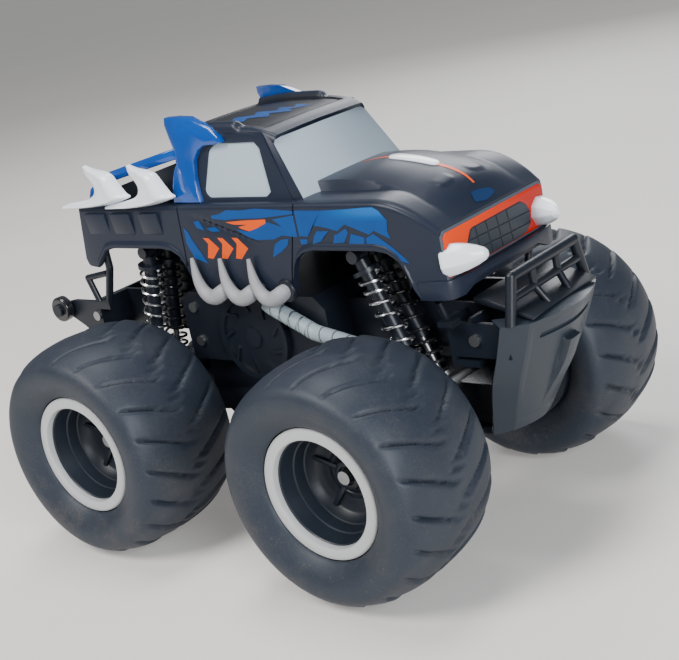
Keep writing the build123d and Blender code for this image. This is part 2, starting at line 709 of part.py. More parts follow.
def make_knuckle(side):
    y = side * KING_PIN_Y
    knuckle = rod_z(6, AXLE_X, y, 44, 68)
    knuckle += rod_z(SHAFT_R, AXLE_X, y, 40.2, 71.8)
    knuckle += rod_y(6, AXLE_X, AXLE_Z, y, side * 70.6)
    arm_x = AXLE_X + STEER_ARM
    knuckle += box((AXLE_X, arm_x), (y - 3, y + 3), (47.4, 50.6))
    knuckle += rod_z(3, arm_x, y, 47.4, 50.6)
    knuckle += rod_z(1.5, arm_x, y, 42.6, 47.5)
    knuckle -= rod_y(SHAFT_R, AXLE_X, AXLE_Z, side * 59, side * 75)
    return [knuckle]


def make_hub_bolt(side):
    bolt = rod_y(SHAFT_R, AXLE_X, AXLE_Z, side * 59.2, side * 84.4)
    bolt += rod_y(BOLT_HEAD_R, AXLE_X, AXLE_Z, side * 84.3, side * 87)
    return [bolt]


# ----------------------------------------------------------------- rear axle

GEAR_DISTANCE = GEAR_MODULE * (GEAR_TEETH + PINION_TEETH) / 2
MOTOR_ANGLE = math.radians(160)
MOTOR_X = -AXLE_X + GEAR_DISTANCE * math.cos(MOTOR_ANGLE)
MOTOR_Z = AXLE_Z + GEAR_DISTANCE * math.sin(MOTOR_ANGLE)
GEAR_Y = (9.0, 13.0)


def involute_gear(teeth, backlash, phase):
    """Spur gear face in XZ about the origin, with a gap or a tooth set by the phase."""
    pitch_r = GEAR_MODULE * teeth / 2
    base_r = pitch_r * math.cos(math.radians(20))
    tip_r = pitch_r + 0.8 * GEAR_MODULE
    root_r = pitch_r - 1.05 * GEAR_MODULE

    def spread(radius):
        pressure = math.acos(min(1.0, base_r / radius))
        return math.tan(pressure) - pressure

    half_tooth = math.pi / (2 * teeth) - backlash / (2 * pitch_r) + spread(pitch_r)
    start_r = max(base_r, root_r)
    points = []
    for tooth in range(teeth):
        middle = phase + 2 * math.pi * tooth / teeth
        flank = []
        for step in range(4):
            radius = start_r + (tip_r - start_r) * step / 3
            flank.append((radius, half_tooth - spread(radius)))
        left = [(root_r, flank[0][1])] + flank if root_r < start_r else flank
        for radius, half in left:
            points.append((radius, middle - half))
        for radius, half in reversed(left):
            points.append((radius, middle + half))
    return [(radius * math.cos(angle), radius * math.sin(angle)) for radius, angle in points]


def gear_solid(points, x, z, bore):
    gear = slab_y([(x + px, z + pz) for px, pz in points], *GEAR_Y)
    return gear - rod_y(bore, x, z, GEAR_Y[0] - 1, GEAR_Y[1] + 1)


def make_drive_gear():
    points = involute_gear(GEAR_TEETH, 0.16, MOTOR_ANGLE)
    gear = gear_solid(points, -AXLE_X, AXLE_Z, SHAFT_R + 0.02)
    hub = rod_y(6, -AXLE_X, AXLE_Z, GEAR_Y[0] - 3, GEAR_Y[0]) - rod_y(SHAFT_R + 0.02, -AXLE_X, AXLE_Z, 0, 20)
    return [gear + hub]


def make_motor_pinion():
    facing = MOTOR_ANGLE + math.pi
    points = involute_gear(PINION_TEETH, 0.16, facing + math.pi / PINION_TEETH)
    pinion = gear_solid(points, MOTOR_X, MOTOR_Z, 1.0)
    return [pinion + rod_y(1.0, MOTOR_X, MOTOR_Z, 4.2, GEAR_Y[1] + 1.5)]


def make_drive_motor():
    motor = rod_y(MOTOR_R, MOTOR_X, MOTOR_Z, -20, 3)
    motor += rod_y(3.0, MOTOR_X, MOTOR_Z, 3, 4)
    motor -= rod_y(1.0 + RUNNING_CLEARANCE, MOTOR_X, MOTOR_Z, -6, 6)
    return [motor]


GEARCASE_R = 17.5


def gear_hollow(y_from, y_to, shrink):
    hollow = rod_y(GEARCASE_R - shrink, -AXLE_X, AXLE_Z, y_from, y_to)
    hollow += rod_y(MOTOR_R + 1.8 - shrink + 1.2, MOTOR_X, MOTOR_Z, y_from, y_to)
    return hollow


def make_rear_gear_case():
    case = gear_hollow(4.2, 15, 0) - gear_hollow(5.9, 16, 1.8)
    case += rod_y(MOTOR_R + 1.5, MOTOR_X, MOTOR_Z, -20, 4.3) - rod_y(MOTOR_R, MOTOR_X, MOTOR_Z, -21, 3)
    case += box((-AXLE_X - 6, -AXLE_X + 6), (-29.5, 4.3), (AXLE_Z - 6, AXLE_Z + 6))
    case += swing_arms(-PIVOT_X, -AXLE_X, REAR_SHOCK_EYE, (-1,))[0]
    case += rod_y(7.0, -AXLE_X, AXLE_Z, -45, -28.9)
    case -= rod_y(MOTOR_R, MOTOR_X, MOTOR_Z, -21, 3)
    case -= rod_y(3.2, MOTOR_X, MOTOR_Z, 2, 6.5)
    case -= rod_y(SHAFT_R + RUNNING_CLEARANCE, -AXLE_X, AXLE_Z, -46, -20)
    case -= rod_y(SHAFT_R + 0.6, -AXLE_X, AXLE_Z, -20.5, 20)
    return [case]


def make_rear_gear_cover():
    cover = gear_hollow(15, 16.8, 0)
    cover += box((-AXLE_X - 6, -AXLE_X + 6), (16.7, 29.5), (AXLE_Z - 6, AXLE_Z + 6))
    cover += swing_arms(-PIVOT_X, -AXLE_X, REAR_SHOCK_EYE, (1,))[0]
    cover += rod_y(7.0, -AXLE_X, AXLE_Z, 28.9, 45)
    cover -= rod_y(SHAFT_R + 0.6, -AXLE_X, AXLE_Z, 10, 29)
    cover -= rod_y(SHAFT_R + RUNNING_CLEARANCE, -AXLE_X, AXLE_Z, 28.5, 46)
    return [cover]


def make_rear_shaft():
    return [rod_y(SHAFT_R, -AXLE_X, AXLE_Z, -84.3, 84.3)]


def make_rear_hub_screws():
    return [rod_y(BOLT_HEAD_R, -AXLE_X, AXLE_Z, side * 84.3, side * 87) for side in SIDES]


# -------------------------------------------------------------------- shocks

ROD_START = 28.0
TUBE_END = 46.0


def shock_frame(top, eye, y):
    """Plane at the top pin, with its Z axis down the shock."""
    return Plane(origin=(top[0], y, top[1]), x_dir=(0, 1, 0), z_dir=(eye[0] - top[0], 0, eye[1] - top[1]))


def shock_places(top, eye):
    length = math.hypot(eye[0] - top[0], eye[1] - top[1])
    ys = [side * y for side in SIDES for y in (OUTER_SHOCK_Y, INNER_SHOCK_Y)]
    return length, [shock_frame(top, eye, y) for y in ys]


def local_rod(start, end, radius):
    return Pos(0, 0, (start + end) / 2) * Cylinder(radius, end - start)


def make_shock_bodies(top, eye):
    _, places = shock_places(top, eye)
    barrel = local_rod(2.5, TUBE_END, 3.4) + local_rod(7, 9, SPRING_SEAT_R)
    barrel -= local_rod(15, TUBE_END + 1, 1.7)
    head = Rot(0, 90, 0) * Cylinder(3.4, 5.6)
    piece = (barrel + head) - Rot(0, 90, 0) * Cylinder(SHOCK_PIN_R + RUNNING_CLEARANCE, 10)
    return [place * piece for place in places]


def make_shock_rods(top, eye):
    length, places = shock_places(top, eye)
    shaft = local_rod(ROD_START, length - 2.5, 1.6) + local_rod(length - 9, length - 7, SPRING_SEAT_R)
    foot = Pos(0, 0, length) * Rot(0, 90, 0) * Cylinder(3.4, 5.6)
    hole = Pos(0, 0, length) * Rot(0, 90, 0) * Cylinder(SHOCK_PIN_R + 0.4, 10)
    piece = (shaft + foot) - hole
    return [place * piece for place in places]


def make_springs(top, eye, turns):
    length, places = shock_places(top, eye)
    low = 9.7
    high = length - 9.7
    path = Helix(pitch=(high - low) / turns, height=high - low, radius=SPRING_MEAN_R)
    section = Plane(origin=path @ 0, z_dir=path % 0) * Circle(SPRING_WIRE_R)
    coil = Pos(0, 0, low) * sweep(section, path=path, is_frenet=True)
    return [place * coil for place in places]


# -------------------------------------------------------------------- output

os.makedirs("parts", exist_ok=True)

write("body_shell", [make_body_shell()])
write("window_panels", make_windows())
write("rollbar_fins", make_rollbar_fins())
write("bed_cover", make_bed_cover())
write("grille_panel", make_grille_panel())
write("grille_mesh", make_grille_mesh())
write("headlight_spikes", make_headlight_spikes())
write("bed_horns", make_bed_horns())
write("side_tusks", make_side_tusks())
write("hood_insert", make_hood_insert())
write("hull_tub", make_hull_tub())
write("hull_cover", make_hull_cover())
write("side_discs", make_side_discs())
write("side_pipes", make_side_pipes())
write("front_shock_tower", [shock_tower(FRONT_SHOCK_TOP, 50)])
write("rear_shock_tower", [shock_tower(REAR_SHOCK_TOP, -62)])
write("suspension_pins", make_suspension_pins())
write("battery_pack", make_battery_pack())
write("battery_door", make_battery_door())
write("control_board", make_control_board())
write("power_switch", make_power_switch())
write("chassis_screws", make_chassis_screws())
write("front_bracket", make_front_bracket())
write("skid_plate", make_skid_plate())
write("bull_bar", make_bull_bar())
write("rear_bracket", make_rear_bracket())
write("front_axle_beam", make_front_axle_beam())
write("steering_servo", make_steering_servo())
write("servo_horn", make_servo_horn())
write("tie_rod", make_tie_rod())
for side, hand in ((-1, "right"), (1, "left")):
    write(f"{hand}_wheelie_wheel", make_wheelie_wheel(side))
    write(f"{hand}_knuckle", make_knuckle(side))
    write(f"{hand}_hub_bolt", make_hub_bolt(side))
    write(f"front_{hand}_tyre", make_tyre(AXLE_X, side))
    write(f"front_{hand}_rim", make_rim(AXLE_X, side, SHAFT_R + RUNNING_CLEARANCE))
    write(f"front_{hand}_ring", make_ring(AXLE_X, side))
    write(f"rear_{hand}_tyre", make_tyre(-AXLE_X, side))
    write(f"rear_{hand}_rim", make_rim(-AXLE_X, side, SHAFT_R + 0.02))
write("rear_rings", [ring for side in SIDES for ring in make_ring(-AXLE_X, side)])
write("rear_hub_screws", make_rear_hub_screws())
write("rear_axle_shaft", make_rear_shaft())
write("drive_gear", make_drive_gear())
write("rear_gear_case", make_rear_gear_case())
write("rear_gear_cover", make_rear_gear_cover())
write("drive_motor", make_drive_motor())
write("motor_pinion", make_motor_pinion())
for end, top, eye, turns in (("front", FRONT_SHOCK_TOP, FRONT_SHOCK_EYE, 11),
                             ("rear", REAR_SHOCK_TOP, REAR_SHOCK_EYE, 11)):
    write(f"{end}_shock_bodies", make_shock_bodies(top, eye))
    write(f"{end}_shock_rods", make_shock_rods(top, eye))
    write(f"{end}_springs", make_springs(top, eye, turns))
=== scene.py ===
import math

import bmesh
import bpy
from mathutils import Matrix, Vector


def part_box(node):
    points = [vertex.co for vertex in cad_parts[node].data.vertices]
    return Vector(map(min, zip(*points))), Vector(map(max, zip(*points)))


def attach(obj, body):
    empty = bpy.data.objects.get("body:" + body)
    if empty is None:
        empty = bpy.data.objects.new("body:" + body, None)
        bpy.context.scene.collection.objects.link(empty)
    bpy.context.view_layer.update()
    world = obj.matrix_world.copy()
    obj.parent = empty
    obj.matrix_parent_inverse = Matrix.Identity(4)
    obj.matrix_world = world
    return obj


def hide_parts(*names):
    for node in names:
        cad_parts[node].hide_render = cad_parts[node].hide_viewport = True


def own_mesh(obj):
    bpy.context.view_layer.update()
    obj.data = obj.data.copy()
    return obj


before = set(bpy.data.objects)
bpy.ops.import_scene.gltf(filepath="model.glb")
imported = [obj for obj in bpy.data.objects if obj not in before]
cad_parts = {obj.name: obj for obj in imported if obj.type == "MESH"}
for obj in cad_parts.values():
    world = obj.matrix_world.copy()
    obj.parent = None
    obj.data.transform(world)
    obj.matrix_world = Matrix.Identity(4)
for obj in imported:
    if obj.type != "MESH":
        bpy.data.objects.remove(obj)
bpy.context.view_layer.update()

MM = 0.001
TAU = 2 * math.pi

# Places that follow from the frame, in millimetres
TYRE_LOW, TYRE_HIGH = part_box("front_left_tyre")
WHEEL_R = (TYRE_HIGH[2] - TYRE_LOW[2]) / 2 / MM
AXLE_X = (TYRE_HIGH[0] + TYRE_LOW[0]) / 2 / MM
TYRE_Y = (TYRE_HIGH[1] + TYRE_LOW[1]) / 2 / MM
TYRE_HALF_W = 32.0
BEAD_R = 31.0
BELT_Z = 166.0
SILL_Z = 120.0


# ------------------------------------------------------------------ materials


class Value:
    """A shader socket that can be used in Python arithmetic."""

    def __init__(self, paint, socket):
        self.paint = paint
        self.socket = socket

    def maths(self, operation, *others):
        return self.paint.maths(operation, self, *others)

    def __add__(self, other):
        return self.maths("ADD", other)

    __radd__ = __add__

    def __mul__(self, other):
        return self.maths("MULTIPLY", other)

    __rmul__ = __mul__

    def __sub__(self, other):
        return self.maths("SUBTRACT", other)

    def __rsub__(self, other):
        return self.paint.maths("SUBTRACT", other, self)

    def above(self, edge, soft):
        """0 below the edge and 1 above it, with a soft step."""
        return self.paint.node("ShaderNodeMapRange", {"interpolation_type": "SMOOTHSTEP"},
                               {"Value": self, "From Min": edge - soft, "From Max": edge + soft})

    def below(self, edge, soft):
        return 1 - self.above(edge, soft)

    def size(self):
        return self.maths("ABSOLUTE")


class Paint:
    """One procedural material on object coordinates, in millimetres."""

    def __init__(self, name):
        self.material = bpy.data.materials.new(name)
        self.material.use_nodes = True
        self.tree = self.material.node_tree
        self.shader = self.tree.nodes["Principled BSDF"]
        place = self.node("ShaderNodeTexCoord", {}, {}, "Object")
        self.point = self.node("ShaderNodeVectorMath", {"operation": "SCALE"}, {0: place, "Scale": 1 / MM},
                               "Vector")
        split = self.tree.nodes.new("ShaderNodeSeparateXYZ")
        self.tree.links.new(self.point.socket, split.inputs[0])
        self.x, self.y, self.z = (Value(self, split.outputs[axis]) for axis in range(3))

    def feed(self, socket, value):
        """Links a value to a socket, or sets the socket to a number, a vector or an opaque colour."""
        if isinstance(value, Value):
            self.tree.links.new(value.socket, socket)
        elif isinstance(value, tuple):
            socket.default_value = (*value, 1.0)[:len(socket.default_value)]
        else:
            socket.default_value = value

    def node(self, kind, settings, inputs, output=0):
        """The output of a new shader node."""
        node = self.tree.nodes.new(kind)
        for key, setting in settings.items():
            setattr(node, key, setting)
        for key, value in inputs.items():
            self.feed(node.inputs[key], value)
        return Value(self, node.outputs[output])

    def maths(self, operation, *values):
        return self.node("ShaderNodeMath", {"operation": operation}, dict(enumerate(values)))

    def noise(self, scale, detail=3.0, rough=0.5, point=None):
        """Noise with features about 1 / scale millimetres across."""
        return self.node("ShaderNodeTexNoise", {}, {"Vector": point or self.point, "Scale": scale,
                                                   "Detail": detail, "Roughness": rough})

    def stretched(self, x, y, z):
        """The point with each axis scaled, for a pattern drawn out along the others."""
        return self.node("ShaderNodeVectorMath", {"operation": "MULTIPLY"}, {0: self.point, 1: (x, y, z)},
                         "Vector")

    def mix(self, amount, first, second):
        """Colour between first and second; the amount may be a value or a number."""
        return self.node("ShaderNodeMix", {"data_type": "RGBA"}, {0: amount, 6: first, 7: second}, 2)

    def set(self, **sockets):
        """Feeds the shader's sockets, named with underscores."""
        for key, value in sockets.items():
            self.feed(self.shader.inputs[key.replace("_", " ")], value)

    def bump(self, height, strength, distance):
        """Bump with its depth in millimetres."""
        sockets = {"Height": height, "Strength": strength, "Distance": distance * MM}
        self.set(Normal=self.node("ShaderNodeBump", {}, sockets, "Normal"))


def moulded_plastic(name, colour, rough, grain, coat=0.0, tint=0.12):
    """Injection-moulded plastic with a fine grain, faint flow marks and uneven gloss."""
    paint = Paint(name)
    flow = paint.noise(0.035, 4.0, 0.6)
    fine = paint.noise(2.6, 2.0, 0.6)
    light = tuple(min(1.0, part * (1 + tint) + 0.004) for part in colour)
    dark = tuple(part * (1 - tint) for part in colour)
    paint.set(Base_Color=paint.mix(flow, dark, light))
    paint.set(Roughness=flow * 0.12 + fine * 0.06 + (rough - 0.09))
    paint.set(Coat_Weight=coat, Coat_Roughness=0.12, Specular_IOR_Level=0.4)
    paint.bump(fine, grain, 0.05)
    return paint.material


def metal(name, colour, rough, scratches):
    """Plated or turned metal with fine scratches and a little dulling."""
    paint = Paint(name)
    brushed = paint.noise(1.4, 4.0, 0.7, paint.stretched(1.0, 6.0, 1.0))
    dull = paint.noise(0.12, 3.0)
    darker = tuple(part * 0.72 for part in colour)
    paint.set(Base_Color=paint.mix(dull.above(0.62, 0.2) * 0.6, colour, darker))
    paint.set(Metallic=1.0, Roughness=brushed * 0.18 + dull * 0.1 + (rough - 0.12))
    paint.bump(brushed, scratches, 0.03)
    return paint.material


def tyre_rubber():
    """Charcoal rubber, greyer where it is scuffed, with dry dust that is thicker low down."""
    paint = Paint("tyre_rubber")
    cloud = paint.noise(0.05, 5.0, 0.62)
    grit = paint.noise(1.1, 4.0, 0.7)
    speck = paint.noise(0.55, 2.0, 0.5)
    base = paint.mix(cloud, (0.012, 0.018, 0.030), (0.027, 0.036, 0.052))
    scuffed = paint.mix(grit.above(0.58, 0.1) * 0.25, base, (0.06, 0.066, 0.076))
    dust = cloud.above(0.56, 0.12) * grit.above(0.5, 0.16) * 0.5 + speck.above(0.72, 0.02) * 0.6
    low = paint.z.below(34.0, 34.0) * 0.75 + 0.25
    paint.set(Base_Color=paint.mix(dust * low, scuffed, (0.13, 0.10, 0.075)))
    paint.set(Roughness=cloud * 0.16 + grit * 0.12 + 0.36, Specular_IOR_Level=0.38)
    paint.bump(grit * 0.5 + speck, 0.35, 0.12)
    return paint.material


def window_paint():
    """Opaque silvery window with a painted reflection: lighter low down and towards the truck's right."""
    paint = Paint("window_silver")
    drift = paint.noise(0.02, 2.0)
    # painted reflection: the window is made lighter low down and towards the truck's right
    painted_reflection = paint.y * -0.009 + paint.z * -0.006 + 1.78 + drift * 0.25 - 0.12
    paint.set(Base_Color=paint.mix(painted_reflection.above(0.5, 0.45), (0.13, 0.16, 0.20), (0.42, 0.51, 0.58)))
    paint.set(Roughness=drift * 0.1 + 0.2, Coat_Weight=0.35, Coat_Roughness=0.08)
    paint.bump(paint.noise(1.8, 2.0), 0.08, 0.02)
    return paint.material


def grille_orange():
    """Orange panel that turns red towards the truck's left and its lower edge."""
    paint = Paint("grille_orange")
    cloud = paint.noise(0.06, 3.0)
    turn = paint.y * 0.014 + paint.z * -0.012 + 2.18 + cloud * 0.2
    paint.set(Base_Color=paint.mix(turn.above(0.6, 0.5), (0.80, 0.050, 0.0), (0.50, 0.008, 0.001)))
    paint.set(Roughness=cloud * 0.1 + 0.36, Specular_IOR_Level=0.3)
    paint.bump(paint.noise(2.2, 2.0), 0.12, 0.03)
    return paint.material


def body_slate():
    """Dark slate body plastic, satin, with fine scuffs and a nearly black middle on the roof."""
    paint = Paint("body_slate")
    flow = paint.noise(0.03, 4.0, 0.6)
    fine = paint.noise(2.4, 2.0, 0.6)
    scuff = paint.noise(0.5, 6.0, 0.75, paint.stretched(0.4, 1.0, 2.5))
    colour = paint.mix(flow, (0.009, 0.014, 0.027), (0.016, 0.022, 0.040))
    colour = paint.mix(scuff.above(0.70, 0.03) * 0.3, colour, (0.045, 0.055, 0.075))
    roof = paint.z.above(196.0, 1.5) * paint.y.size().below(29.0, 0.6) * paint.x.below(22.0, 1.0)
    colour = paint.mix(roof * 0.85, colour, (0.003, 0.004, 0.007))
    paint.set(Base_Color=colour)
    paint.set(Roughness=flow * 0.12 + fine * 0.05 + scuff * 0.05 + 0.26, Specular_IOR_Level=0.32)
    paint.bump(fine, 0.2, 0.04)
    return paint.material


def printed(name, colour, edge, highlight_and_dark_nose=False):
    """Ink with worn flecks; one kind has a painted highlight high on the front wing and is darker on the
    nose.
    """
    paint = Paint(name)
    cloud = paint.noise(0.08, 4.0, 0.6)
    fleck = paint.noise(0.9, 4.0, 0.7)
    ink = paint.mix(cloud, colour, edge)
    if highlight_and_dark_nose:
        # painted highlight: the ink is made paler high on the front wing
        painted_highlight = paint.x.above(68.0, 16.0) * paint.z.above(159.6, 2.6) * paint.x.below(96.0, 4.0)
        ink = paint.mix(painted_highlight * 0.7, ink, (0.01, 0.16, 0.50))
        nose = paint.x.above(106.0, 1.0) * paint.y.size().below(20.0, 1.0)
        ink = paint.mix(nose * 0.7, ink, (0.010, 0.018, 0.032))
    paint.set(Base_Color=paint.mix(fleck.above(0.74, 0.02), ink, (0.03, 0.034, 0.042)))
    paint.set(Roughness=cloud * 0.12 + 0.34, Specular_IOR_Level=0.25)
    paint.bump(fleck, 0.1, 0.03)
    return paint.material


def glossy_blue():
    """High-gloss blue plastic with soft sink marks that bend its reflections."""
    paint = Paint("gloss_blue")
    flow = paint.noise(0.05, 3.0)
    sink = paint.noise(0.09, 2.0, 0.4)
    paint.set(Base_Color=paint.mix(flow, (0.0, 0.042, 0.25), (0.0, 0.075, 0.36)))
    paint.set(Roughness=flow * 0.08 + 0.12, Coat_Weight=0.8, Coat_Roughness=0.04, Specular_IOR_Level=0.3)
    paint.bump(sink, 0.5, 1.2)
    return paint.material


def ribbed_pipe():
    """Pale grey pipe with thin dark joints between its segments."""
    paint = Paint("pipe_grey")
    cloud = paint.noise(0.07, 3.0)
    place = (paint.x * 0.19 + 40.0).maths("FRACT")
    joint = place.below(0.10, 0.03)
    pale = paint.mix(cloud, (0.29, 0.36, 0.40), (0.38, 0.45, 0.48))
    paint.set(Base_Color=paint.mix(joint * 0.85, pale, (0.05, 0.06, 0.07)))
    paint.set(Roughness=cloud * 0.15 + 0.36, Specular_IOR_Level=0.4)
    paint.bump(place.below(0.12, 0.05) * -1.0 + paint.noise(2.0, 2.0) * 0.1, 0.5, 0.4)
    return paint.material


def pale_floor():
    """Pale matt studio floor that glows faintly, so that it stays light far from the lamps."""
    paint = Paint("studio_floor")
    cloud = paint.noise(0.004, 3.0)
    paint.set(Base_Color=paint.mix(cloud, (0.66, 0.63, 0.60), (0.72, 0.70, 0.67)))
    paint.set(Roughness=cloud * 0.1 + 0.6, Emission_Color=(0.62, 0.60, 0.58), Emission_Strength=0.3)
    paint.bump(paint.noise(0.5, 3.0), 0.05, 0.2)
    return paint.material


SLATE = body_slate()
GLOSS_BLUE = glossy_blue()
GLOSS_WHITE = moulded_plastic("gloss_white", (0.84, 0.89, 0.96), 0.26, 0.08, 0.5, 0.03)
BONE = moulded_plastic("bone_plastic", (0.30, 0.30, 0.32), 0.5, 0.4, 0.0, 0.1)
BLACK = moulded_plastic("chassis_black", (0.006, 0.009, 0.016), 0.38, 0.35, 0.0, 0.25)
GLOSS_BLACK = moulded_plastic("gloss_black", (0.010, 0.011, 0.014), 0.2, 0.12, 0.5, 0.2)
RIM_BLACK = moulded_plastic("rim_black", (0.010, 0.015, 0.024), 0.42, 0.2, 0.0, 0.25)
SKID_GREY = moulded_plastic("skid_grey", (0.017, 0.025, 0.036), 0.38, 0.3, 0.0, 0.15)
MESH_GREY = moulded_plastic("mesh_grey", (0.018, 0.025, 0.036), 0.4, 0.25, 0.0, 0.1)
PIPE_GREY = ribbed_pipe()
# lighter grey for the frame round the grille: a painted highlight on the edge of the nose
HIGHLIGHT_GREY = moulded_plastic("highlight_grey", (0.075, 0.095, 0.12), 0.34, 0.2, 0.0, 0.1)
RING_GREY = moulded_plastic("ring_grey", (0.46, 0.47, 0.475), 0.45, 0.3, 0.0, 0.08)
RUBBER = tyre_rubber()
WINDOW = window_paint()
ORANGE = grille_orange()
INK_BLUE = printed("ink_blue", (0.0, 0.045, 0.20), (0.0, 0.068, 0.27), True)
INK_ORANGE = printed("ink_orange", (0.72, 0.070, 0.0), (0.82, 0.10, 0.0))
SPRING = metal("spring_chrome", (0.80, 0.81, 0.83), 0.22, 0.1)
SCREW = metal("zinc_screw", (0.36, 0.37, 0.38), 0.4, 0.3)
CAN = metal("motor_can", (0.56, 0.56, 0.57), 0.32, 0.3)
BRASS = metal("turned_brass", (0.72, 0.52, 0.22), 0.28, 0.2)
GEAR_WHITE = moulded_plastic("gear_nylon", (0.62, 0.60, 0.54), 0.45, 0.2)
WRAP_GREEN = moulded_plastic("cell_wrap", (0.02, 0.16, 0.07), 0.3, 0.1, 0.3)
BOARD_GREEN = moulded_plastic("board_green", (0.02, 0.12, 0.05), 0.45, 0.3)

NODE_FINISH = {
    "bed_cover": BLACK, "hull_tub": BLACK, "hull_cover": BLACK, "side_discs": BLACK, "side_pipes": PIPE_GREY,
    "front_shock_tower": BLACK, "rear_shock_tower": BLACK, "suspension_pins": BLACK, "battery_door": BLACK,
    "battery_pack": WRAP_GREEN, "control_board": BOARD_GREEN, "power_switch": SKID_GREY,
    "chassis_screws": SCREW,
    "front_bracket": BLACK, "bull_bar": BLACK, "rear_bracket": BLACK, "front_axle_beam": BLACK,
    "steering_servo": GLOSS_BLACK, "servo_horn": SKID_GREY, "tie_rod": BLACK, "rear_hub_screws": SCREW,
    "rear_axle_shaft": SCREW, "drive_gear": GEAR_WHITE, "rear_gear_case": BLACK, "rear_gear_cover": BLACK,
    "drive_motor": CAN, "motor_pinion": BRASS, "left_knuckle": BLACK, "right_knuckle": BLACK,
    "left_hub_bolt": SCREW, "right_hub_bolt": SCREW, "left_wheelie_wheel": GLOSS_BLACK,
    "right_wheelie_wheel": GLOSS_BLACK, "front_shock_bodies": BLACK, "front_shock_rods": SCREW,
    "rear_shock_bodies": BLACK, "rear_shock_rods": SCREW,
}


# -------------------------------------------------------------- mesh helpers


def settle(bm):
    """Merges doubles and turns every face outwards."""
    bmesh.ops.remove_doubles(bm, verts=bm.verts, dist=0.001)
    bmesh.ops.recalc_face_normals(bm, faces=bm.faces)
    return bm


def absorb(bm, *others):
    """Adds the other meshes to bm."""
    for other in others:
        mesh = bpy.data.meshes.new("part")
        other.to_mesh(mesh)
        other.free()
        bm.from_mesh(mesh)
        bpy.data.meshes.remove(mesh)
    return bm


def twin(bm):
    """Adds a copy mirrored through y = 0."""
    copy = bm.copy()
    bmesh.ops.scale(copy, vec=(1, -1, 1), verts=copy.verts)
    bmesh.ops.reverse_faces(copy, faces=copy.faces)
    return absorb(bm, copy)


def piece(name, bm, body, finish, slot, *nodes, sharp=32.0):
    """Makes the object from a mesh in millimetres; it rides its body and replaces the CAD nodes named."""
    bmesh.ops.scale(bm, vec=(MM, MM, MM), verts=bm.verts)
    mesh = bpy.data.meshes.new(name)
    bm.to_mesh(mesh)
    bm.free()
    mesh.shade_smooth()
    mesh.set_sharp_from_angle(angle=math.radians(sharp))
    mesh.materials.append(finish)
    made = bpy.data.objects.new(name, mesh)
    bpy.context.scene.collection.objects.link(made)
    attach(made, body)
    if nodes:
        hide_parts(*nodes)
    return made


def round_edges(bm, width, segments=2, angle=25.0, edges=None):
    """Bevels the edges given, or else those that turn by more than the angle."""
    limit = math.radians(angle)
    chosen = edges or [e for e in bm.edges if len(e.link_faces) == 2 and e.calc_face_angle(0) > limit]
    bmesh.ops.bevel(bm, geom=chosen, offset=width, segments=segments, profile=0.5, affect="EDGES",
                    material=-1, clamp_overlap=True)
    return bm


def push(bm, faces, vector):
    """Extrudes faces by a vector."""
    grown = bmesh.ops.extrude_face_region(bm, geom=faces)
    verts = [item for item in grown["geom"] if isinstance(item, bmesh.types.BMVert)]
    bmesh.ops.translate(bm, vec=vector, verts=verts)


def sheet(points, cuts=0):
    """One flat face through the points, split into a fine net if cuts are given."""
    bm = bmesh.new()
    face = bm.faces.new([bm.verts.new(point) for point in points])
    if cuts:
        bmesh.ops.triangulate(bm, faces=[face])
        bmesh.ops.subdivide_edges(bm, edges=bm.edges, cuts=cuts, use_grid_fill=True)
    return bm


def slab(points, vector):
    """A plate with sharp edges: the flat face through the points, given a thickness by the vector."""
    bm = sheet(points)
    push(bm, bm.faces[:], vector)
    return settle(bm)


def net(columns, rows):
    """A square net from -1 to 1 in x and y."""
    bm = bmesh.new()
    bmesh.ops.create_grid(bm, x_segments=columns, y_segments=rows, size=1)
    return bm


def pull(bm, edges):
    """Extrudes edges in place and returns the new points."""
    grown = bmesh.ops.extrude_edge_only(bm, edges=edges)
    return [item for item in grown["geom"] if isinstance(item, bmesh.types.BMVert)]


def face_towards(bm, direction):
    """Turns all faces of an open sheet the same way, the one that looks along the direction."""
    bmesh.ops.recalc_face_normals(bm, faces=bm.faces)
    if sum(face.normal.dot(Vector(direction)) for face in bm.faces) < 0:
        bmesh.ops.reverse_faces(bm, faces=bm.faces)


def plate(points, y_from, y_to):
    """A plate from an (x, z) outline between two y values."""
    return slab([(x, y_from, z) for x, z in points], (0, y_to - y_from, 0))


def block(low, high, width):
    """A box between two corners with rounded edges."""
    bm = bmesh.new()
    bmesh.ops.create_cube(bm, size=1)
    bmesh.ops.scale(bm, vec=[high[k] - low[k] for k in range(3)], verts=bm.verts)
    bmesh.ops.translate(bm, vec=[(high[k] + low[k]) / 2 for k in range(3)], verts=bm.verts)
    return round_edges(bm, width)


def lathe(profile, steps):
    """Turns an open or closed (y, r) profile about the Y axis."""
    bm = bmesh.new()
    verts = [bm.verts.new((0, y, r)) for y, r in profile]
    edges = [bm.edges.new(pair) for pair in zip(verts, verts[1:])]
    bmesh.ops.spin(bm, geom=verts + edges, cent=(0, 0, 0), axis=(0, 1, 0), angle=TAU, steps=steps,
                   use_merge=True, dvec=(0, 0, 0))
    return settle(bm)


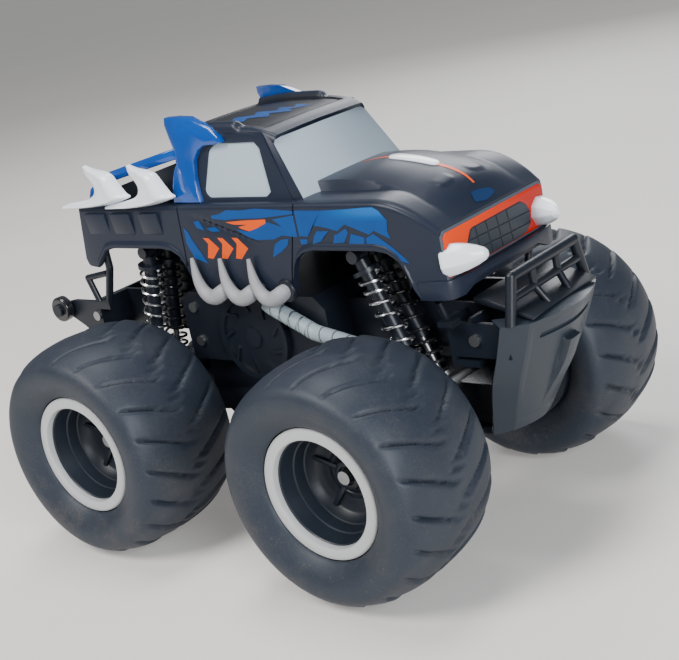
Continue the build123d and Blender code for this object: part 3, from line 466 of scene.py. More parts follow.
def tube(points, radius, sides, radii=None, per_point=8):
    """A round tube along a smooth line through the points; radii thin it point by point."""
    curve = bpy.data.curves.new("route", "CURVE")
    curve.dimensions = "3D"
    curve.bevel_depth = radius
    curve.bevel_resolution = sides
    curve.use_fill_caps = True
    curve.resolution_u = per_point
    spline = curve.splines.new("NURBS")
    spline.points.add(len(points) - 1)
    for index, (x, y, z) in enumerate(points):
        spline.points[index].co = (x, y, z, 1)
        spline.points[index].radius = radii[index] if radii else 1.0
    spline.order_u = 3
    spline.use_endpoint_u = True
    holder = bpy.data.objects.new("route", curve)
    mesh = bpy.data.meshes.new_from_object(holder)
    bm = bmesh.new()
    bm.from_mesh(mesh)
    bpy.data.objects.remove(holder)
    bpy.data.curves.remove(curve)
    bpy.data.meshes.remove(mesh)
    return settle(bm)


def smoothstep(low, high, value):
    """0 at low and 1 at high, or the other way round if low is the larger."""
    t = min(1.0, max(0.0, (value - low) / (high - low)))
    return t * t * (3 - 2 * t)


def curve_through(points, x):
    """Height of a smooth curve through (x, height) points, held flat past its ends."""
    if x <= points[0][0]:
        return points[0][1]
    if x >= points[-1][0]:
        return points[-1][1]
    for index in range(len(points) - 1):
        if x <= points[index + 1][0]:
            break
    def slope(at):
        before = points[max(at - 1, 0)]
        after = points[min(at + 1, len(points) - 1)]
        return (after[1] - before[1]) / (after[0] - before[0])
    (x0, h0), (x1, h1) = points[index], points[index + 1]
    span = x1 - x0
    t = (x - x0) / span
    m0 = slope(index) * span
    m1 = slope(index + 1) * span
    return (h0 * (2 * t**3 - 3 * t**2 + 1) + m0 * (t**3 - 2 * t**2 + t) + h1 * (3 * t**2 - 2 * t**3)
            + m1 * (t**3 - t**2))


# ----------------------------------------------------------------- body shell

LOWER_EDGE = [(-114.6, 137.0), (-113.0, 133.4), (-104.5, 133.0), (-100.4, 137.0), (-94.5, 142.8),
              (-88, 144.0), (-52, 144.0), (-45, 143.0), (-39.7, 140.0), (-36.2, 134.0), (-33.8, 127.0),
              (-32.2, 121.2), (-30, SILL_Z), (28.4, SILL_Z), (30.6, 121.4), (32.4, 128.0), (34.4, 135.0),
              (37.0, 139.6), (41.5, 142.6), (48, 144.0), (84, 144.0), (90, 142.8), (95, 139.4), (98, 134.5),
              (100.6, 126.0), (102.6, 122.6), (105, 122.0), (116.4, 122.2)]
# where lines that run up the side start on the lower edge, by index, and end on the belt line
COLUMN_KNOTS = [(0, -109.5), (5, -88), (6, -52), (9, -34.4), (12, -27), (13, 41), (17, 46), (19, 52),
                (20, 84), (23, 96), (25, 106), (27, 116.2)]
BELT_LINE = [(-110, BELT_Z), (84, BELT_Z), (92, 165.2), (98, 163.4), (104, 160.6), (110, 157.0),
             (116.2, 152.2)]
HOOD_CENTRE = [(40, 171.5), (56, 173.8), (66, 174.6), (80, 173.0), (92, 170.2), (99, 168.0), (105, 165.0),
               (109, 161.4), (112, 157.6), (116.2, 152.5)]
HOOD_RIDGE = [(40, 171.0), (56, 171.4), (70, 170.6), (90, 167.0), (100, 163.8), (106, 160.4), (112, 156.0),
              (116.2, 152.4)]
RIDGE_Y = 25.8
GROOVES = (-34.4, 41.0)
SHOULDER_R = 2.4
LIP = 3.0


def side_half(x, z):
    """Half width of the body at a place on its side."""
    half = 44.0
    half -= 3.0 * max(0.0, (x - 84) / 32) ** 2
    half -= 1.6 * max(0.0, (-96 - x) / 18) ** 2
    half -= 0.9 * smoothstep(136, 121, z) if -32 < x < 32 else 0.0
    # sunken panel under the door crease, which runs down and forward
    along = (x + 23.0) / 38.0
    line_z = 160.2 - 12.1 * along
    below = line_z - z
    if -0.15 < along < 1.15 and below > -0.4:
        ends = smoothstep(-0.15, 0.25, along) * smoothstep(1.15, 0.8, along)
        half -= 1.3 * ends * smoothstep(-0.4, 0.3, below) * math.exp(-max(0.0, below) / 7.0)
    return half


def hood_height(x, y, edge_z):
    """Height of the top surface: a flat deck behind, the hood with its raised centre in front."""
    across = abs(y)
    if x < 39:
        return edge_z
    flank = edge_z + 0.7 * (1 - min(1.0, abs(across - 30) / 14) ** 2) * smoothstep(116, 96, x)
    centre = curve_through(HOOD_CENTRE, x)
    ridge = curve_through(HOOD_RIDGE, x)
    raised = centre - (centre - ridge) * (across / RIDGE_Y) ** 2
    wide = 1.3 + 3.4 * smoothstep(70, 104, x)
    step = smoothstep(RIDGE_Y + wide, RIDGE_Y - 0.3, across)
    height = flank + (raised - flank) * step
    # nostril: a low lip that drops sharply at its front
    lip = x - (104.2 - 0.03 * (across - 11.5) ** 2)
    reach = smoothstep(6.2, 3.6, abs(across - 11.5))
    height += 0.55 * reach * smoothstep(-7.0, -0.3, lip) * smoothstep(0.6, 0.1, lip)
    return height


def column_places():
    """Lower edge point, belt x and groove depth of each column; the door gaps take four columns each."""
    columns = []
    for (first, x_first), (last, x_last) in zip(COLUMN_KNOTS, COLUMN_KNOTS[1:]):
        route = LOWER_EDGE[first:last + 1]
        lengths = [math.dist(a, b) for a, b in zip(route, route[1:])]
        total = sum(lengths)
        count = max(2, int(max(total, x_last - x_first) / 1.1))
        for step in range(count):
            reach = total * step / count
            leg = 0
            while reach > lengths[leg] and leg < len(lengths) - 1:
                reach -= lengths[leg]
                leg += 1
            t = reach / lengths[leg]
            low = (route[leg][0] + (route[leg + 1][0] - route[leg][0]) * t,
                   route[leg][1] + (route[leg + 1][1] - route[leg][1]) * t)
            columns.append((low, x_first + (x_last - x_first) * step / count))
    columns.append((LOWER_EDGE[-1], COLUMN_KNOTS[-1][1]))
    spread = []
    for low, top_x in columns:
        if top_x in GROOVES:
            for shift, depth in ((-0.42, 0.0), (-0.16, 0.8), (0.16, 0.8), (0.42, 0.0)):
                spread.append(((low[0] + shift, low[1]), top_x + shift, depth))
        else:
            spread.append((low, top_x, 0.0))
    return spread


SIDE_ROWS = 38
SHOULDER_ROWS = 6
TOP_ROWS = 46


def body_profile(low, top_x, depth):
    """Half profile of the body, from its lower lip over the shoulder to the middle."""
    edge_z = curve_through(BELT_LINE, top_x)
    points = [(low[0], side_half(*low) - LIP, low[1] + 0.4)]
    in_arch = low[1] > 121.5 and low[0] > -104
    for row in range(SIDE_ROWS + 1):
        t = row / SIDE_ROWS
        x = low[0] + (top_x - low[0]) * t
        z = low[1] + (edge_z - SHOULDER_R - low[1]) * t
        half = side_half(x, z) - depth
        half += 0.7 * smoothstep(4.0, 2.2, z - low[1]) if in_arch else 0.0
        half -= 0.8 if row == 0 else 0.0
        points.append((x, half, z))
    rim = side_half(top_x, edge_z - SHOULDER_R)
    for row in range(1, SHOULDER_ROWS + 1):
        turn = math.pi / 2 * row / SHOULDER_ROWS
        drop = SHOULDER_R * (1 - math.sin(turn))
        points.append((top_x, rim - depth - SHOULDER_R * (1 - math.cos(turn)), edge_z - drop))
    for row in range(1, TOP_ROWS + 1):
        y = (rim - SHOULDER_R) * (1 - row / TOP_ROWS)
        points.append((top_x, y, hood_height(top_x, y, edge_z) - (depth if top_x > 0 and y > 37 else 0)))
    return points


def make_body():
    """Body shell without the cab: both sides, the top surface and the two end walls."""
    columns = [body_profile(*place) for place in column_places()]
    rows = len(columns[0])
    full = 2 * rows - 1
    bm = net(len(columns) - 1, full - 1)
    for vert in bm.verts:
        column = round((vert.co.x + 1) / 2 * (len(columns) - 1))
        row = round((vert.co.y + 1) / 2 * (full - 1))
        side = -1 if row < rows else 1
        x, y, z = columns[column][row if row < rows else full - 1 - row]
        vert.co = (x, side * y, z)
    # tail wall and nose wall close the ends of the shell
    for ends in (columns[0], columns[-1]):
        wall = [(x, -y, z) for x, y, z in ends] + [(x, y, z) for x, y, z in reversed(ends[:-1])]
        bm.faces.new([bm.verts.new(point) for point in wall])
    settle(bm)
    walls = [f for f in bm.faces if len(f.verts) > 20]
    bmesh.ops.triangulate(bm, faces=walls)
    return bm


LOUVRES = ((-104.0, -87.6), (-83.6, -68.4), (-62.4, -48.0))


def make_louvres():
    """Raised air-outlet blocks on each bed side."""
    bm = bmesh.new()
    for start, end in LOUVRES:
        half = side_half(start, 158)
        outline = [(start + 0.6, 162.6), (end - 0.6, 162.6), (end, 150.6), (start, 150.6)]
        outer = plate(outline, -half - 2.0, -half + 1.0)
        for vert in outer.verts:
            if vert.co.y < -half and vert.co.z < 155:
                vert.co.y += 1.7
                vert.co.z += 1.2
        absorb(bm, round_edges(outer, 0.35))
    return twin(bm)


BUMPER_PATH = [(102.5, -43.6), (112, -43.4), (116.8, -42.2), (118.8, -40.0), (120.0, -34.0), (121.2, -24.0),
               (121.8, -12), (122, 0), (121.8, 12), (121.2, 24), (120.0, 34), (118.8, 40), (116.8, 42.2),
               (112, 43.4), (102.5, 43.6)]
BUMPER_DEPTH = 3.2
BUMPER_TOP = 130.4
BUMPER_HEIGHT = 8.4


def make_bumper_strip():
    """Lower front strip that wraps round the nose; its middle is shallower than its corners."""
    bm = bmesh.new()
    line = [bm.verts.new((x, y, BUMPER_TOP)) for x, y in BUMPER_PATH]
    moved = pull(bm, [bm.edges.new(pair) for pair in zip(line, line[1:])])
    bmesh.ops.translate(bm, vec=(0, 0, -BUMPER_HEIGHT), verts=moved)
    for vert in moved:
        vert.co.z += 4.4 * smoothstep(29.0, 23.0, abs(vert.co.y))
    face_towards(bm, (1, 0, 0))
    bmesh.ops.solidify(bm, geom=bm.faces[:], thickness=BUMPER_DEPTH)
    settle(bm)
    return round_edges(bm, 0.5, 2, angle=50)


# ------------------------------------------------------------------------ cab

SIDE_LEAN = 0.1526
CAB_HALF_W = 39.6
WINDOW_LINE = [(-19.2, 171.0), (-16.6, 167.9), (21.0, 167.7), (24.0, 170.0), (19.6, 189.6), (16.6, 192.6),
               (-8.6, 192.8), (-13.6, 189.8)]
SIDE_FRAME = [(-36.0, 171.0), (-36.0, 165.2), (33.0, 165.2), (37.8, 165.2), (25.6, 189.6), (22.4, 196.8),
              (-20.0, 198.8), (-33.0, 196.0)]
GLASS_SINK = 1.0


def cab_side_y(z):
    """Half width of the leaning cab side at a height."""
    return CAB_HALF_W - (z - 160.0) * SIDE_LEAN


def framed_hole(outer, inner, sink):
    """A flat frame between two loops of corners, with the hole's edge turned in by the sink vector."""
    bm = bmesh.new()
    loops = []
    for points in (outer, inner, [tuple(Vector(p) + Vector(sink)) for p in inner]):
        verts = [bm.verts.new(point) for point in points]
        loops.append([bm.edges.new((a, b)) for a, b in zip(verts, verts[1:] + verts[:1])])
    bmesh.ops.bridge_loops(bm, edges=loops[0] + loops[1])
    bmesh.ops.bridge_loops(bm, edges=loops[1] + loops[2])
    corners = [e for e in bm.edges if e.verts[0].co != e.verts[1].co and
               (e.verts[0].co - e.verts[1].co).cross(Vector(sink)).length < 1e-4]
    rim = [e for e in bm.edges if len(e.link_faces) == 2 and e.calc_face_angle(0) > 1.0 and e not in corners]
    bmesh.ops.bevel(bm, geom=rim, offset=0.35, segments=2, profile=0.5, affect="EDGES", material=-1)
    return bm


def make_cab_sides():
    outer = [(x, -cab_side_y(z), z) for x, z in SIDE_FRAME]
    inner = [(x, -cab_side_y(z), z) for x, z in WINDOW_LINE]
    return twin(framed_hole(outer, inner, (0, GLASS_SINK + 0.6, 0)))


WINDSHIELD = [(43.6, -38.0, 166.4), (46.0, 0, 167.4), (43.6, 38.0, 166.4), (27.4, 33.4, 192.8),
              (29.2, 0, 193.6), (27.4, -33.4, 192.8)]


def make_pillars():
    """Slanted corner pillars beside the windshield."""
    low_seam = (37.8, -cab_side_y(165.2), 165.2)
    high_seam = (22.4, -cab_side_y(196.8), 196.8)
    low_glass = (43.4, -38.1, 165.6)
    high_glass = (27.3, -33.6, 193.0)
    bm = slab((low_seam, low_glass, high_glass, high_seam), (-1.0, 0.8, 0))
    return twin(round_edges(bm, 0.45))


def make_windshield():
    bm = sheet(WINDSHIELD, 5)
    for vert in bm.verts:
        vert.co.x += 1.4 * (1 - (vert.co.y / 38.5) ** 2) - 0.5
    return settle(bm)


def make_side_windows():
    bm = sheet([(x, -cab_side_y(z) + GLASS_SINK, z) for x, z in WINDOW_LINE])
    bmesh.ops.bevel(bm, geom=bm.verts, offset=1.4, segments=3, profile=0.5, affect="VERTICES")
    push(bm, bm.faces[:], (0, 0.8, 0))
    return twin(settle(bm))


ROOF_LINE = [(-36, 198.6), (-20, 199.8), (0, 199.6), (12, 198.8), (20, 197.6), (25, 196.2), (28.6, 194.4)]
ROOF_LENGTH = 64.6
ROOF_HALF_W = 34.4
ROOF_CROWN = 0.6
ROOF_PANEL_SINK = 0.7
ROOF_RAIL = 2.6
ROOF_SKIRT = 1.9


def make_roof():
    """Roof skin with raised side rails that step down over the doors."""
    bm = net(72, 84)
    for vert in bm.verts:
        x = ROOF_LINE[0][0] + ROOF_LENGTH * (vert.co.x + 1) / 2
        across = vert.co.y
        half = ROOF_HALF_W - 0.9 * smoothstep(20, 29, x)
        y = half * across
        z = curve_through(ROOF_LINE, x) + ROOF_CROWN * (1 - across**2)
        z += ROOF_RAIL * smoothstep(28.0, 30.0, abs(y)) * smoothstep(8.6, 4.6, x)
        panel = smoothstep(28.6, 27.8, abs(y)) * smoothstep(-34, -33, x) * smoothstep(20.5, 19.5, x)
        z -= ROOF_PANEL_SINK * panel
        z -= 2.6 * max(0.0, (abs(y) - half + 2.2) / 2.2) ** 2.4
        vert.co = (x, y, z)
    moved = pull(bm, [e for e in bm.edges if e.is_boundary])
    bmesh.ops.translate(bm, vec=(0, 0, -ROOF_SKIRT), verts=moved)
    for vert in moved:
        vert.co.x *= 0.97
    return settle(bm)


def make_cab_back():
    """Rear wall of the cab."""
    bm = sheet([(-36.6, -38, 165.5), (-36.6, 38, 165.5), (-35.4, 33.6, 198.0), (-35.4, -33.6, 198.0)])
    face = bm.faces[:][0]
    bmesh.ops.inset_region(bm, faces=[face], thickness=5.0, depth=0.0)
    bmesh.ops.inset_region(bm, faces=[face], thickness=0.6, depth=-0.9)
    return settle(bm)


# ------------------------------------------------------ fins, horns and tusks

FIN = [(-38.5, 206.8), (-30, 206.9), (-21.5, 206.2), (-15, 203.4), (-8.5, 200.9), (-3.4, 196.6),
       (-1.6, 193.6), (-6.5, 192.9), (-13.6, 192.7), (-18.0, 190.6), (-21.4, 186.0), (-22.2, 178.0),
       (-21.4, 171.5), (-20.0, 166.3), (-38.6, 166.3), (-38.2, 175.0), (-36.0, 181.5), (-33.4, 185.5),
       (-34.2, 191.0), (-36.6, 197.0), (-38.9, 203.4)]
ROLL_BAR = [(-33.0, 192.6), (-33.0, 187.2), (-66.0, 181.0), (-85.0, 177.2), (-93.0, 172.4), (-97.0, 166.4),
            (-103.4, 166.4), (-100.6, 174.2), (-90.0, 181.4), (-67.6, 185.9)]


def lean_in(bm, gap):
    """Shifts a flat side piece so that it leans with the cab side."""
    for vert in bm.verts:
        vert.co.y -= cab_side_y(vert.co.z) + gap - CAB_HALF_W
    return bm


def pillow(points, y_face, thick, crown, width):
    """A plate whose outer face, on the right, rises in a soft crown from its rounded edge."""
    bm = plate(points, y_face + thick, y_face)
    front = min(bm.faces, key=lambda f: f.calc_center_median().y)
    bmesh.ops.bevel(bm, geom=list(front.edges), offset=width, segments=3, profile=0.5, affect="EDGES",
                    material=-1)
    front = min(bm.faces, key=lambda f: f.calc_center_median().y)
    bmesh.ops.inset_region(bm, faces=[front], thickness=width * 1.6, depth=crown, use_even_offset=True)
    return bm


def make_fins():
    """Blue fins beside the cab, each with a roll bar that slopes down behind it."""
    bm = pillow(FIN, -CAB_HALF_W - 1.6, 3.4, 0.6, 0.8)
    absorb(bm, pillow(ROLL_BAR, -CAB_HALF_W - 1.2, 3.6, 0.9, 0.9))
    return twin(lean_in(bm, 1.2))


# back and front edge of a horn from its upper prong to its lower prong, as (x, z) from its upper front corner
HORN_BACK = [(-19.2, 2.4), (-18.4, -0.6), (-16.0, -3.4), (-13.6, -6.6), (-13.4, -9.2), (-15.4, -11.6),
             (-20.0, -13.4), (-28.0, -14.8), (-36.6, -15.8), (-43.4, -17.4)]
HORN_FRONT = [(-17.6, 3.6), (-11.6, 1.6), (-5.0, 0.4), (0.6, -1.6), (4.2, -6.2), (8.0, -11.0),
              (10.4, -13.6), (-3.0, -16.6), (-22.0, -18.4), (-42.8, -18.8)]
HORN_THICK = [1.6, 2.6, 3.4, 4.0, 4.4, 4.6, 4.4, 3.8, 2.8, 1.4]
HORN_Y = -44.0


def along_list(values, t):
    """Smooth value at t, 0 to 1, along an evenly spaced list."""
    return curve_through(list(enumerate(values)), t * (len(values) - 1))


def along_path(points, t):
    """Smooth point at t, 0 to 1, along an evenly spaced path."""
    return [along_list(values, t) for values in zip(*points)]


def horn(x, z, stretch):
    """One horn with two prongs; x and z give its upper front corner."""
    bm = net(44, 24)
    for vert in bm.verts:
        t = (vert.co.x + 1) / 2
        turn = math.pi * (vert.co.y + 1)
        back = along_path(HORN_BACK, t)
        front = along_path(HORN_FRONT, t)
        across = 0.5 - 0.5 * math.cos(turn)
        rise = math.sin(turn)
        thick = along_list(HORN_THICK, t)
        ridge = 1.0 + 0.35 * math.exp(-((across - 0.72) / 0.16) ** 2)
        y = HORN_Y - (thick * ridge * rise**0.55 if rise > 0 else 0.0)
        vert.co = (x + (back[0] + (front[0] - back[0]) * across) * stretch, y,
                   z + back[1] + (front[1] - back[1]) * across)
    settle(bm)
    bmesh.ops.holes_fill(bm, edges=[e for e in bm.edges if e.is_boundary], sides=0)
    bmesh.ops.recalc_face_normals(bm, faces=bm.faces)
    return bm


def make_horns():
    """Two horns on each side of the bed."""
    bm = horn(-76.0, 184.4, 1.0)
    absorb(bm, horn(-43.4, 183.8, 0.97))
    return twin(bm)


TUSK_X = (-12.4, 6.6, 25.6)
TUSK_Y = -47.2
TUSK_ROOT_Z = 124.6
TUSK_RADII = [3.5, 3.9, 4.0, 3.8, 3.3, 2.6, 1.8, 0.9]


def make_tusks():
    """Three curved tusks on each side."""
    bm = bmesh.new()
    for base in TUSK_X:
        route = [(base + 0.8, -43.6, TUSK_ROOT_Z), (base + 0.6, TUSK_Y + 1, 124.4),
                 (base - 2.0, TUSK_Y, 122.6), (base - 6.6, TUSK_Y - 0.4, 120.6),
                 (base - 11.6, TUSK_Y - 0.4, 122.6), (base - 15.2, TUSK_Y, 128.4),
                 (base - 16.6, TUSK_Y + 0.6, 134.6), (base - 16.9, TUSK_Y + 0.8, 140.4)]
        absorb(bm, tube(route, 1.0, 7, TUSK_RADII))
    return twin(bm)


def make_tusk_sockets():
    """Dark collars where the tusks enter the sill."""
    bm = bmesh.new()
    for base in TUSK_X:
        collar = lathe([(-42.0, 5.6), (-43.9, 5.6), (-44.9, 5.0), (-45.2, 4.2), (-45.2, 2.0)], 40)
        bmesh.ops.translate(collar, vec=(base + 0.8, 0, TUSK_ROOT_Z), verts=collar.verts)
        absorb(bm, collar)
    return twin(bm)


SPIKE_PROFILE = [(0.0, 0.0), (0.0, 7.0), (1.0, 7.7), (6.0, 7.1), (11.0, 5.9), (15.0, 4.5), (18.4, 2.8),
                 (19.6, 1.4), (19.9, 0.0)]
SPIKE_FACETS = 8


def spike(side):
    """Faceted headlight spike that points forward and slightly inwards."""
    bm = lathe(SPIKE_PROFILE, SPIKE_FACETS)
    ribs = [e for e in bm.edges if abs((e.verts[0].co - e.verts[1].co).y) > 1.0 and len(e.link_faces) == 2]
    round_edges(bm, 0.35, 2, edges=ribs)
    bmesh.ops.recalc_face_normals(bm, faces=bm.faces)
    axis = Vector((16, 7.0 * -side, 1.0)).normalized()
    turn = axis.to_track_quat("Y", "Z").to_matrix().to_4x4()
    place = Matrix.Translation((112.9, side * 36.6, 137.9)) @ turn @ Matrix.Rotation(0.2, 4, "Y")
    bmesh.ops.transform(bm, matrix=place, verts=bm.verts)
    return bm


# ------------------------------------------------------------------ skid plate

SKID_LOW, SKID_HIGH = 52.0, 108.0
SKID_THICK = 1.6
SKID_WING = ([(52, 114), (78, 123.6), (94, 129.8), (108, 134.6)], [(52, 24), (78, 32.5), (94, 34), (108, 35)])
SKID_RIDGE = ([(52, 120.4), (78, 132.8), (94, 140.0), (108, 145.2)],
              [(52, 17), (78, 25.5), (94, 27.5), (108, 28.5)])
SKID_PROW = [(52, 125), (78, 139.5), (94, 147), (108, 152.6)]
RIDGE_SHARE = 0.68
DECK = [(117.0, 116.0), (118.0, 118.6), (124.0, 117.6), (136.0, 113.6), (147.0, 110.4), (146.0, 108.8)]


def skid_point(across, z):
    """Place on the skid plate, from its prow (0) over the ridge to the rear edge of its wing (1)."""
    reach = abs(across)
    wing_x, wing_y = (curve_through(line, z) for line in SKID_WING)
    ridge_x, ridge_y = (curve_through(line, z) for line in SKID_RIDGE)
    prow_x = curve_through(SKID_PROW, z)
    if reach < RIDGE_SHARE:
        s = reach / RIDGE_SHARE
        x = prow_x + (ridge_x - prow_x) * s**1.7
        y = ridge_y * s
        in_panel = smoothstep(0.93, 0.88, s) * smoothstep(56.0, 58.0, z) * smoothstep(105.6, 104.6, z)
        x -= 0.7 * in_panel
        x -= 1.2 * smoothstep(20.6, 20.0, abs(y)) * smoothstep(1.2, 0.6, abs(z - 99.8))
        rib = smoothstep(5.4, 4.4, abs(y)) * smoothstep(93.0, 92.0, z) * smoothstep(58.0, 84.0, z)
        x += 3.4 * rib
    else:
        s = (reach - RIDGE_SHARE) / (1 - RIDGE_SHARE)
        x = ridge_x + (wing_x - ridge_x) * s
        y = ridge_y + (wing_y - ridge_y) * s
    return x, math.copysign(y, across), z


def make_skid_plate():
    """Skid plate with a shelf along its top edge."""
    bm = net(150, 120)
    for vert in bm.verts:
        vert.co = skid_point(vert.co.x, SKID_LOW + (SKID_HIGH - SKID_LOW) * (vert.co.y + 1) / 2)
    top = [e for e in bm.edges if e.is_boundary and min(v.co.z for v in e.verts) > SKID_HIGH - 0.1]
    for vert in pull(bm, top):
        vert.co.x -= 7.0
        vert.co.y *= 0.86
        vert.co.z += 1.6
    face_towards(bm, (1, 0, 0))
    bmesh.ops.solidify(bm, geom=bm.faces[:], thickness=SKID_THICK)
    return settle(bm)


# ----------------------------------------------------------- grille and hood

GRILLE_PANEL = [(-39.6, 148.6), (-37.6, 150.2), (37.6, 150.2), (39.6, 148.6), (39.2, 131.2), (-39.2, 131.2)]
# outline of the lighter frame round the grille panel, a painted highlight on the nose edge
GRILLE_HIGHLIGHT_FRAME = [(-40.8, 149.4), (-38.4, 151.4), (38.4, 151.4), (40.8, 149.4), (40.6, 130.2), (-40.6, 130.2)]
MESH_X = 117.5
MESH_LINE = [(-24.4, 140.8), (-20.4, 146.4), (-18.6, 147.0), (20.0, 147.0), (24.4, 144.6), (26.6, 140.6),
             (26.0, 135.4), (22.4, 132.4), (17.0, 131.6), (-17.0, 131.6), (-21.0, 133.2)]


def front_plate(points, x_from, x_to):
    """A plate from a (y, z) outline between two x values, with rounded edges."""
    return round_edges(slab([(x_from, y, z) for y, z in points], (x_to - x_from, 0, 0)), 0.4)


def make_grille_mesh():
    """Mesh insert cut into small cushioned cells."""
    bm = sheet([(MESH_X, y, z) for y, z in MESH_LINE])
    cuts = [((0, -24.4 + 8.3 * k, 0), (0, 1, 0.12)) for k in range(1, 7)]
    cuts += [((0, 0, 131.6 + 5.1 * k), (0, 0.03, 1)) for k in (1, 2)]
    for point, normal in cuts:
        bmesh.ops.bisect_plane(bm, geom=list(bm.verts) + list(bm.edges) + list(bm.faces), plane_co=point,
                               plane_no=normal)
    face_towards(bm, (1, 0, 0))
    bmesh.ops.inset_individual(bm, faces=bm.faces[:], thickness=0.28, depth=0.0)
    cells = [f for f in bm.faces if f.calc_area() > 6]
    bmesh.ops.inset_individual(bm, faces=cells, thickness=0.3, depth=0.45)
    return bm


CAPSULE_R = 3.6


def make_hood_insert():
    """White capsule let into the middle of the hood."""
    outline = []
    count = 12
    for end, centre in ((1, 88.6), (-1, 69.4)):
        for step in range(count + 1):
            turn = math.pi * (step / count - 0.5)
            x = centre + end * CAPSULE_R * math.cos(turn)
            outline.append((x, CAPSULE_R * math.sin(turn) * end, 0))
    bm = round_edges(slab(outline, (0, 0, 1.5)), 0.7, 3)
    bmesh.ops.subdivide_edges(bm, edges=[e for e in bm.edges if e.calc_length() > 8], cuts=10)
    for vert in bm.verts:
        narrow = 1 - 0.25 * smoothstep(78, 92, vert.co.x)
        vert.co.y *= narrow
        vert.co.z += hood_height(vert.co.x, vert.co.y, BELT_Z) - 0.5
    return bm


# ------------------------------------------------------------------- graphics

INK_LIFT = 0.14
SIDE_INK = {
    "door_streak": [(-11.8, 160.8), (-6.0, 161.6), (-1.3, 163.4), (8.0, 163.2), (17.6, 164.0),
                    (28.9, 163.4), (40.4, 162.6), (40.4, 161.2), (25.1, 159.8), (20.0, 159.4), (4.2, 159.2),
                    (-3.0, 158.6), (-11.8, 159.3)],
    "door_band": [(3.0, 154.0), (10.5, 153.0), (19.0, 155.3), (23.6, 157.6), (32.3, 155.2), (27.0, 158.8),
                  (40.4, 160.6), (40.4, 150.4), (31.2, 151.2), (25.8, 149.3), (14.6, 148.9), (9.0, 150.6)],
    "door_leaf": [(22.6, 140.6), (25.4, 146.8), (30.0, 149.2), (34.8, 149.6), (33.4, 146.6), (29.0, 143.6)],
    "door_chip": [(-24.8, 157.9), (-21.5, 158.2), (-18.9, 153.3), (-23.7, 154.8)],
    "door_chip_2": [(-17.5, 154.4), (-12.0, 155.0), (-8.5, 153.0), (-14.0, 152.6)],
    "door_trail": [(-32.6, 154.8), (-30.0, 152.6), (-28.7, 149.1), (-26.6, 145.6), (-24.6, 142.8),
                   (-21.0, 137.0), (-29.6, 139.6), (-33.0, 147.0)],
    "fender_band": [(41.6, 162.8), (57.2, 162.6), (70.0, 163.0), (80.0, 163.6), (86.6, 163.8),
                    (89.4, 162.2), (93.0, 157.8), (92.0, 153.0), (93.2, 149.6), (89.0, 151.6),
                    (85.0, 153.4), (82.0, 151.6), (76.0, 153.8), (69.5, 156.2), (67.0, 154.8),
                    (64.4, 153.2), (58.0, 154.8), (50.9, 155.9), (48.6, 153.0), (46.7, 150.6), (41.6, 150.9)],
    "fender_bar": [(41.6, 149.4), (46.2, 149.4), (45.4, 147.2), (41.6, 147.0)],
    "fender_shard": [(48.6, 147.2), (50.2, 150.6), (52.6, 153.2), (59.6, 153.2), (56.4, 150.8),
                     (53.8, 148.4)],
    "fender_shard_2": [(60.8, 147.6), (62.6, 151.6), (64.6, 152.0), (69.4, 154.4), (70.6, 152.6),
                       (67.2, 148.0)],
    "fender_shard_3": [(69.6, 147.0), (72.0, 152.0), (79.0, 150.4), (78.4, 146.0), (73.6, 146.4)],
    "fender_tail": [(79.9, 149.9), (84.4, 152.0), (88.6, 149.2), (93.6, 145.6), (98.6, 141.0),
                    (100.4, 138.6), (96.4, 139.8), (92.6, 143.0), (87.0, 145.2), (79.6, 146.2)],
}
ORANGE_INK = {
    "door_arrow": [(-3.2, 157.6), (10.0, 158.4), (22.9, 158.8), (22.6, 157.0), (17.0, 154.8), (11.0, 153.2),
                   (6.6, 154.2), (4.6, 155.3), (10.8, 156.3), (2.0, 156.4)],
}
CHEVRON_STARTS = (-21.0, -11.6, -2.2)
CHEVRON = [(0.0, 149.8), (3.6, 149.6), (9.6, 144.6), (4.2, 139.4), (0.6, 139.8), (4.6, 144.8)]


def ink_sheet(points):
    """A thin printed patch that follows the right side of the body; its outline is given in (x, z)."""
    bm = sheet([(x, 0, z) for x, z in points], 3)
    bmesh.ops.triangulate(bm, faces=bm.faces)
    for vert in bm.verts:
        vert.co.y = -side_half(vert.co.x, vert.co.z) - INK_LIFT
    face_towards(bm, (0, -1, 0))
    return bm


def ink_group(shapes):
    bm = bmesh.new()
    for points in shapes:
        absorb(bm, ink_sheet(points))
    return twin(bm)


def top_height(x, y):
    """Height of the top surface of the body at a place away from its edges."""
    return hood_height(x, y, curve_through(BELT_LINE, x))


def make_orange_ink():
    chevrons = [[(start + x, z) for x, z in CHEVRON] for start in CHEVRON_STARTS]
    bm = ink_group(list(ORANGE_INK.values()) + chevrons)
    # stripe before and behind the hood insert
    for x_from, x_to, wide_from, wide_to in ((47.5, 66.0, 0.3, 1.3), (91.8, 109.0, 1.5, 0.6)):
        strip = net(30, 6)
        for vert in strip.verts:
            along = (vert.co.x + 1) / 2
            x = x_from + (x_to - x_from) * along
            y = vert.co.y * (wide_from + (wide_to - wide_from) * along)
            vert.co = (x, y, top_height(x, y) + INK_LIFT)
        absorb(bm, strip)
    return bm


TOP_INK = [(111.0, -6.6), (111.4, 0.0), (112.2, 6.4), (114.0, 7.6), (114.8, 3.0), (115.2, -2.0),
           (114.2, -8.6)]
ROOF_INK = [(-20, -25), (-12, -17), (-15, -11), (-5, -8), (-10, -1), (2, 1), (-3, 8), (7, 8), (2, 15),
            (13, 13), (7, 4), (12, 0), (2, -5), (7, -11), (-4, -14), (-1, -20), (-11, -24)]


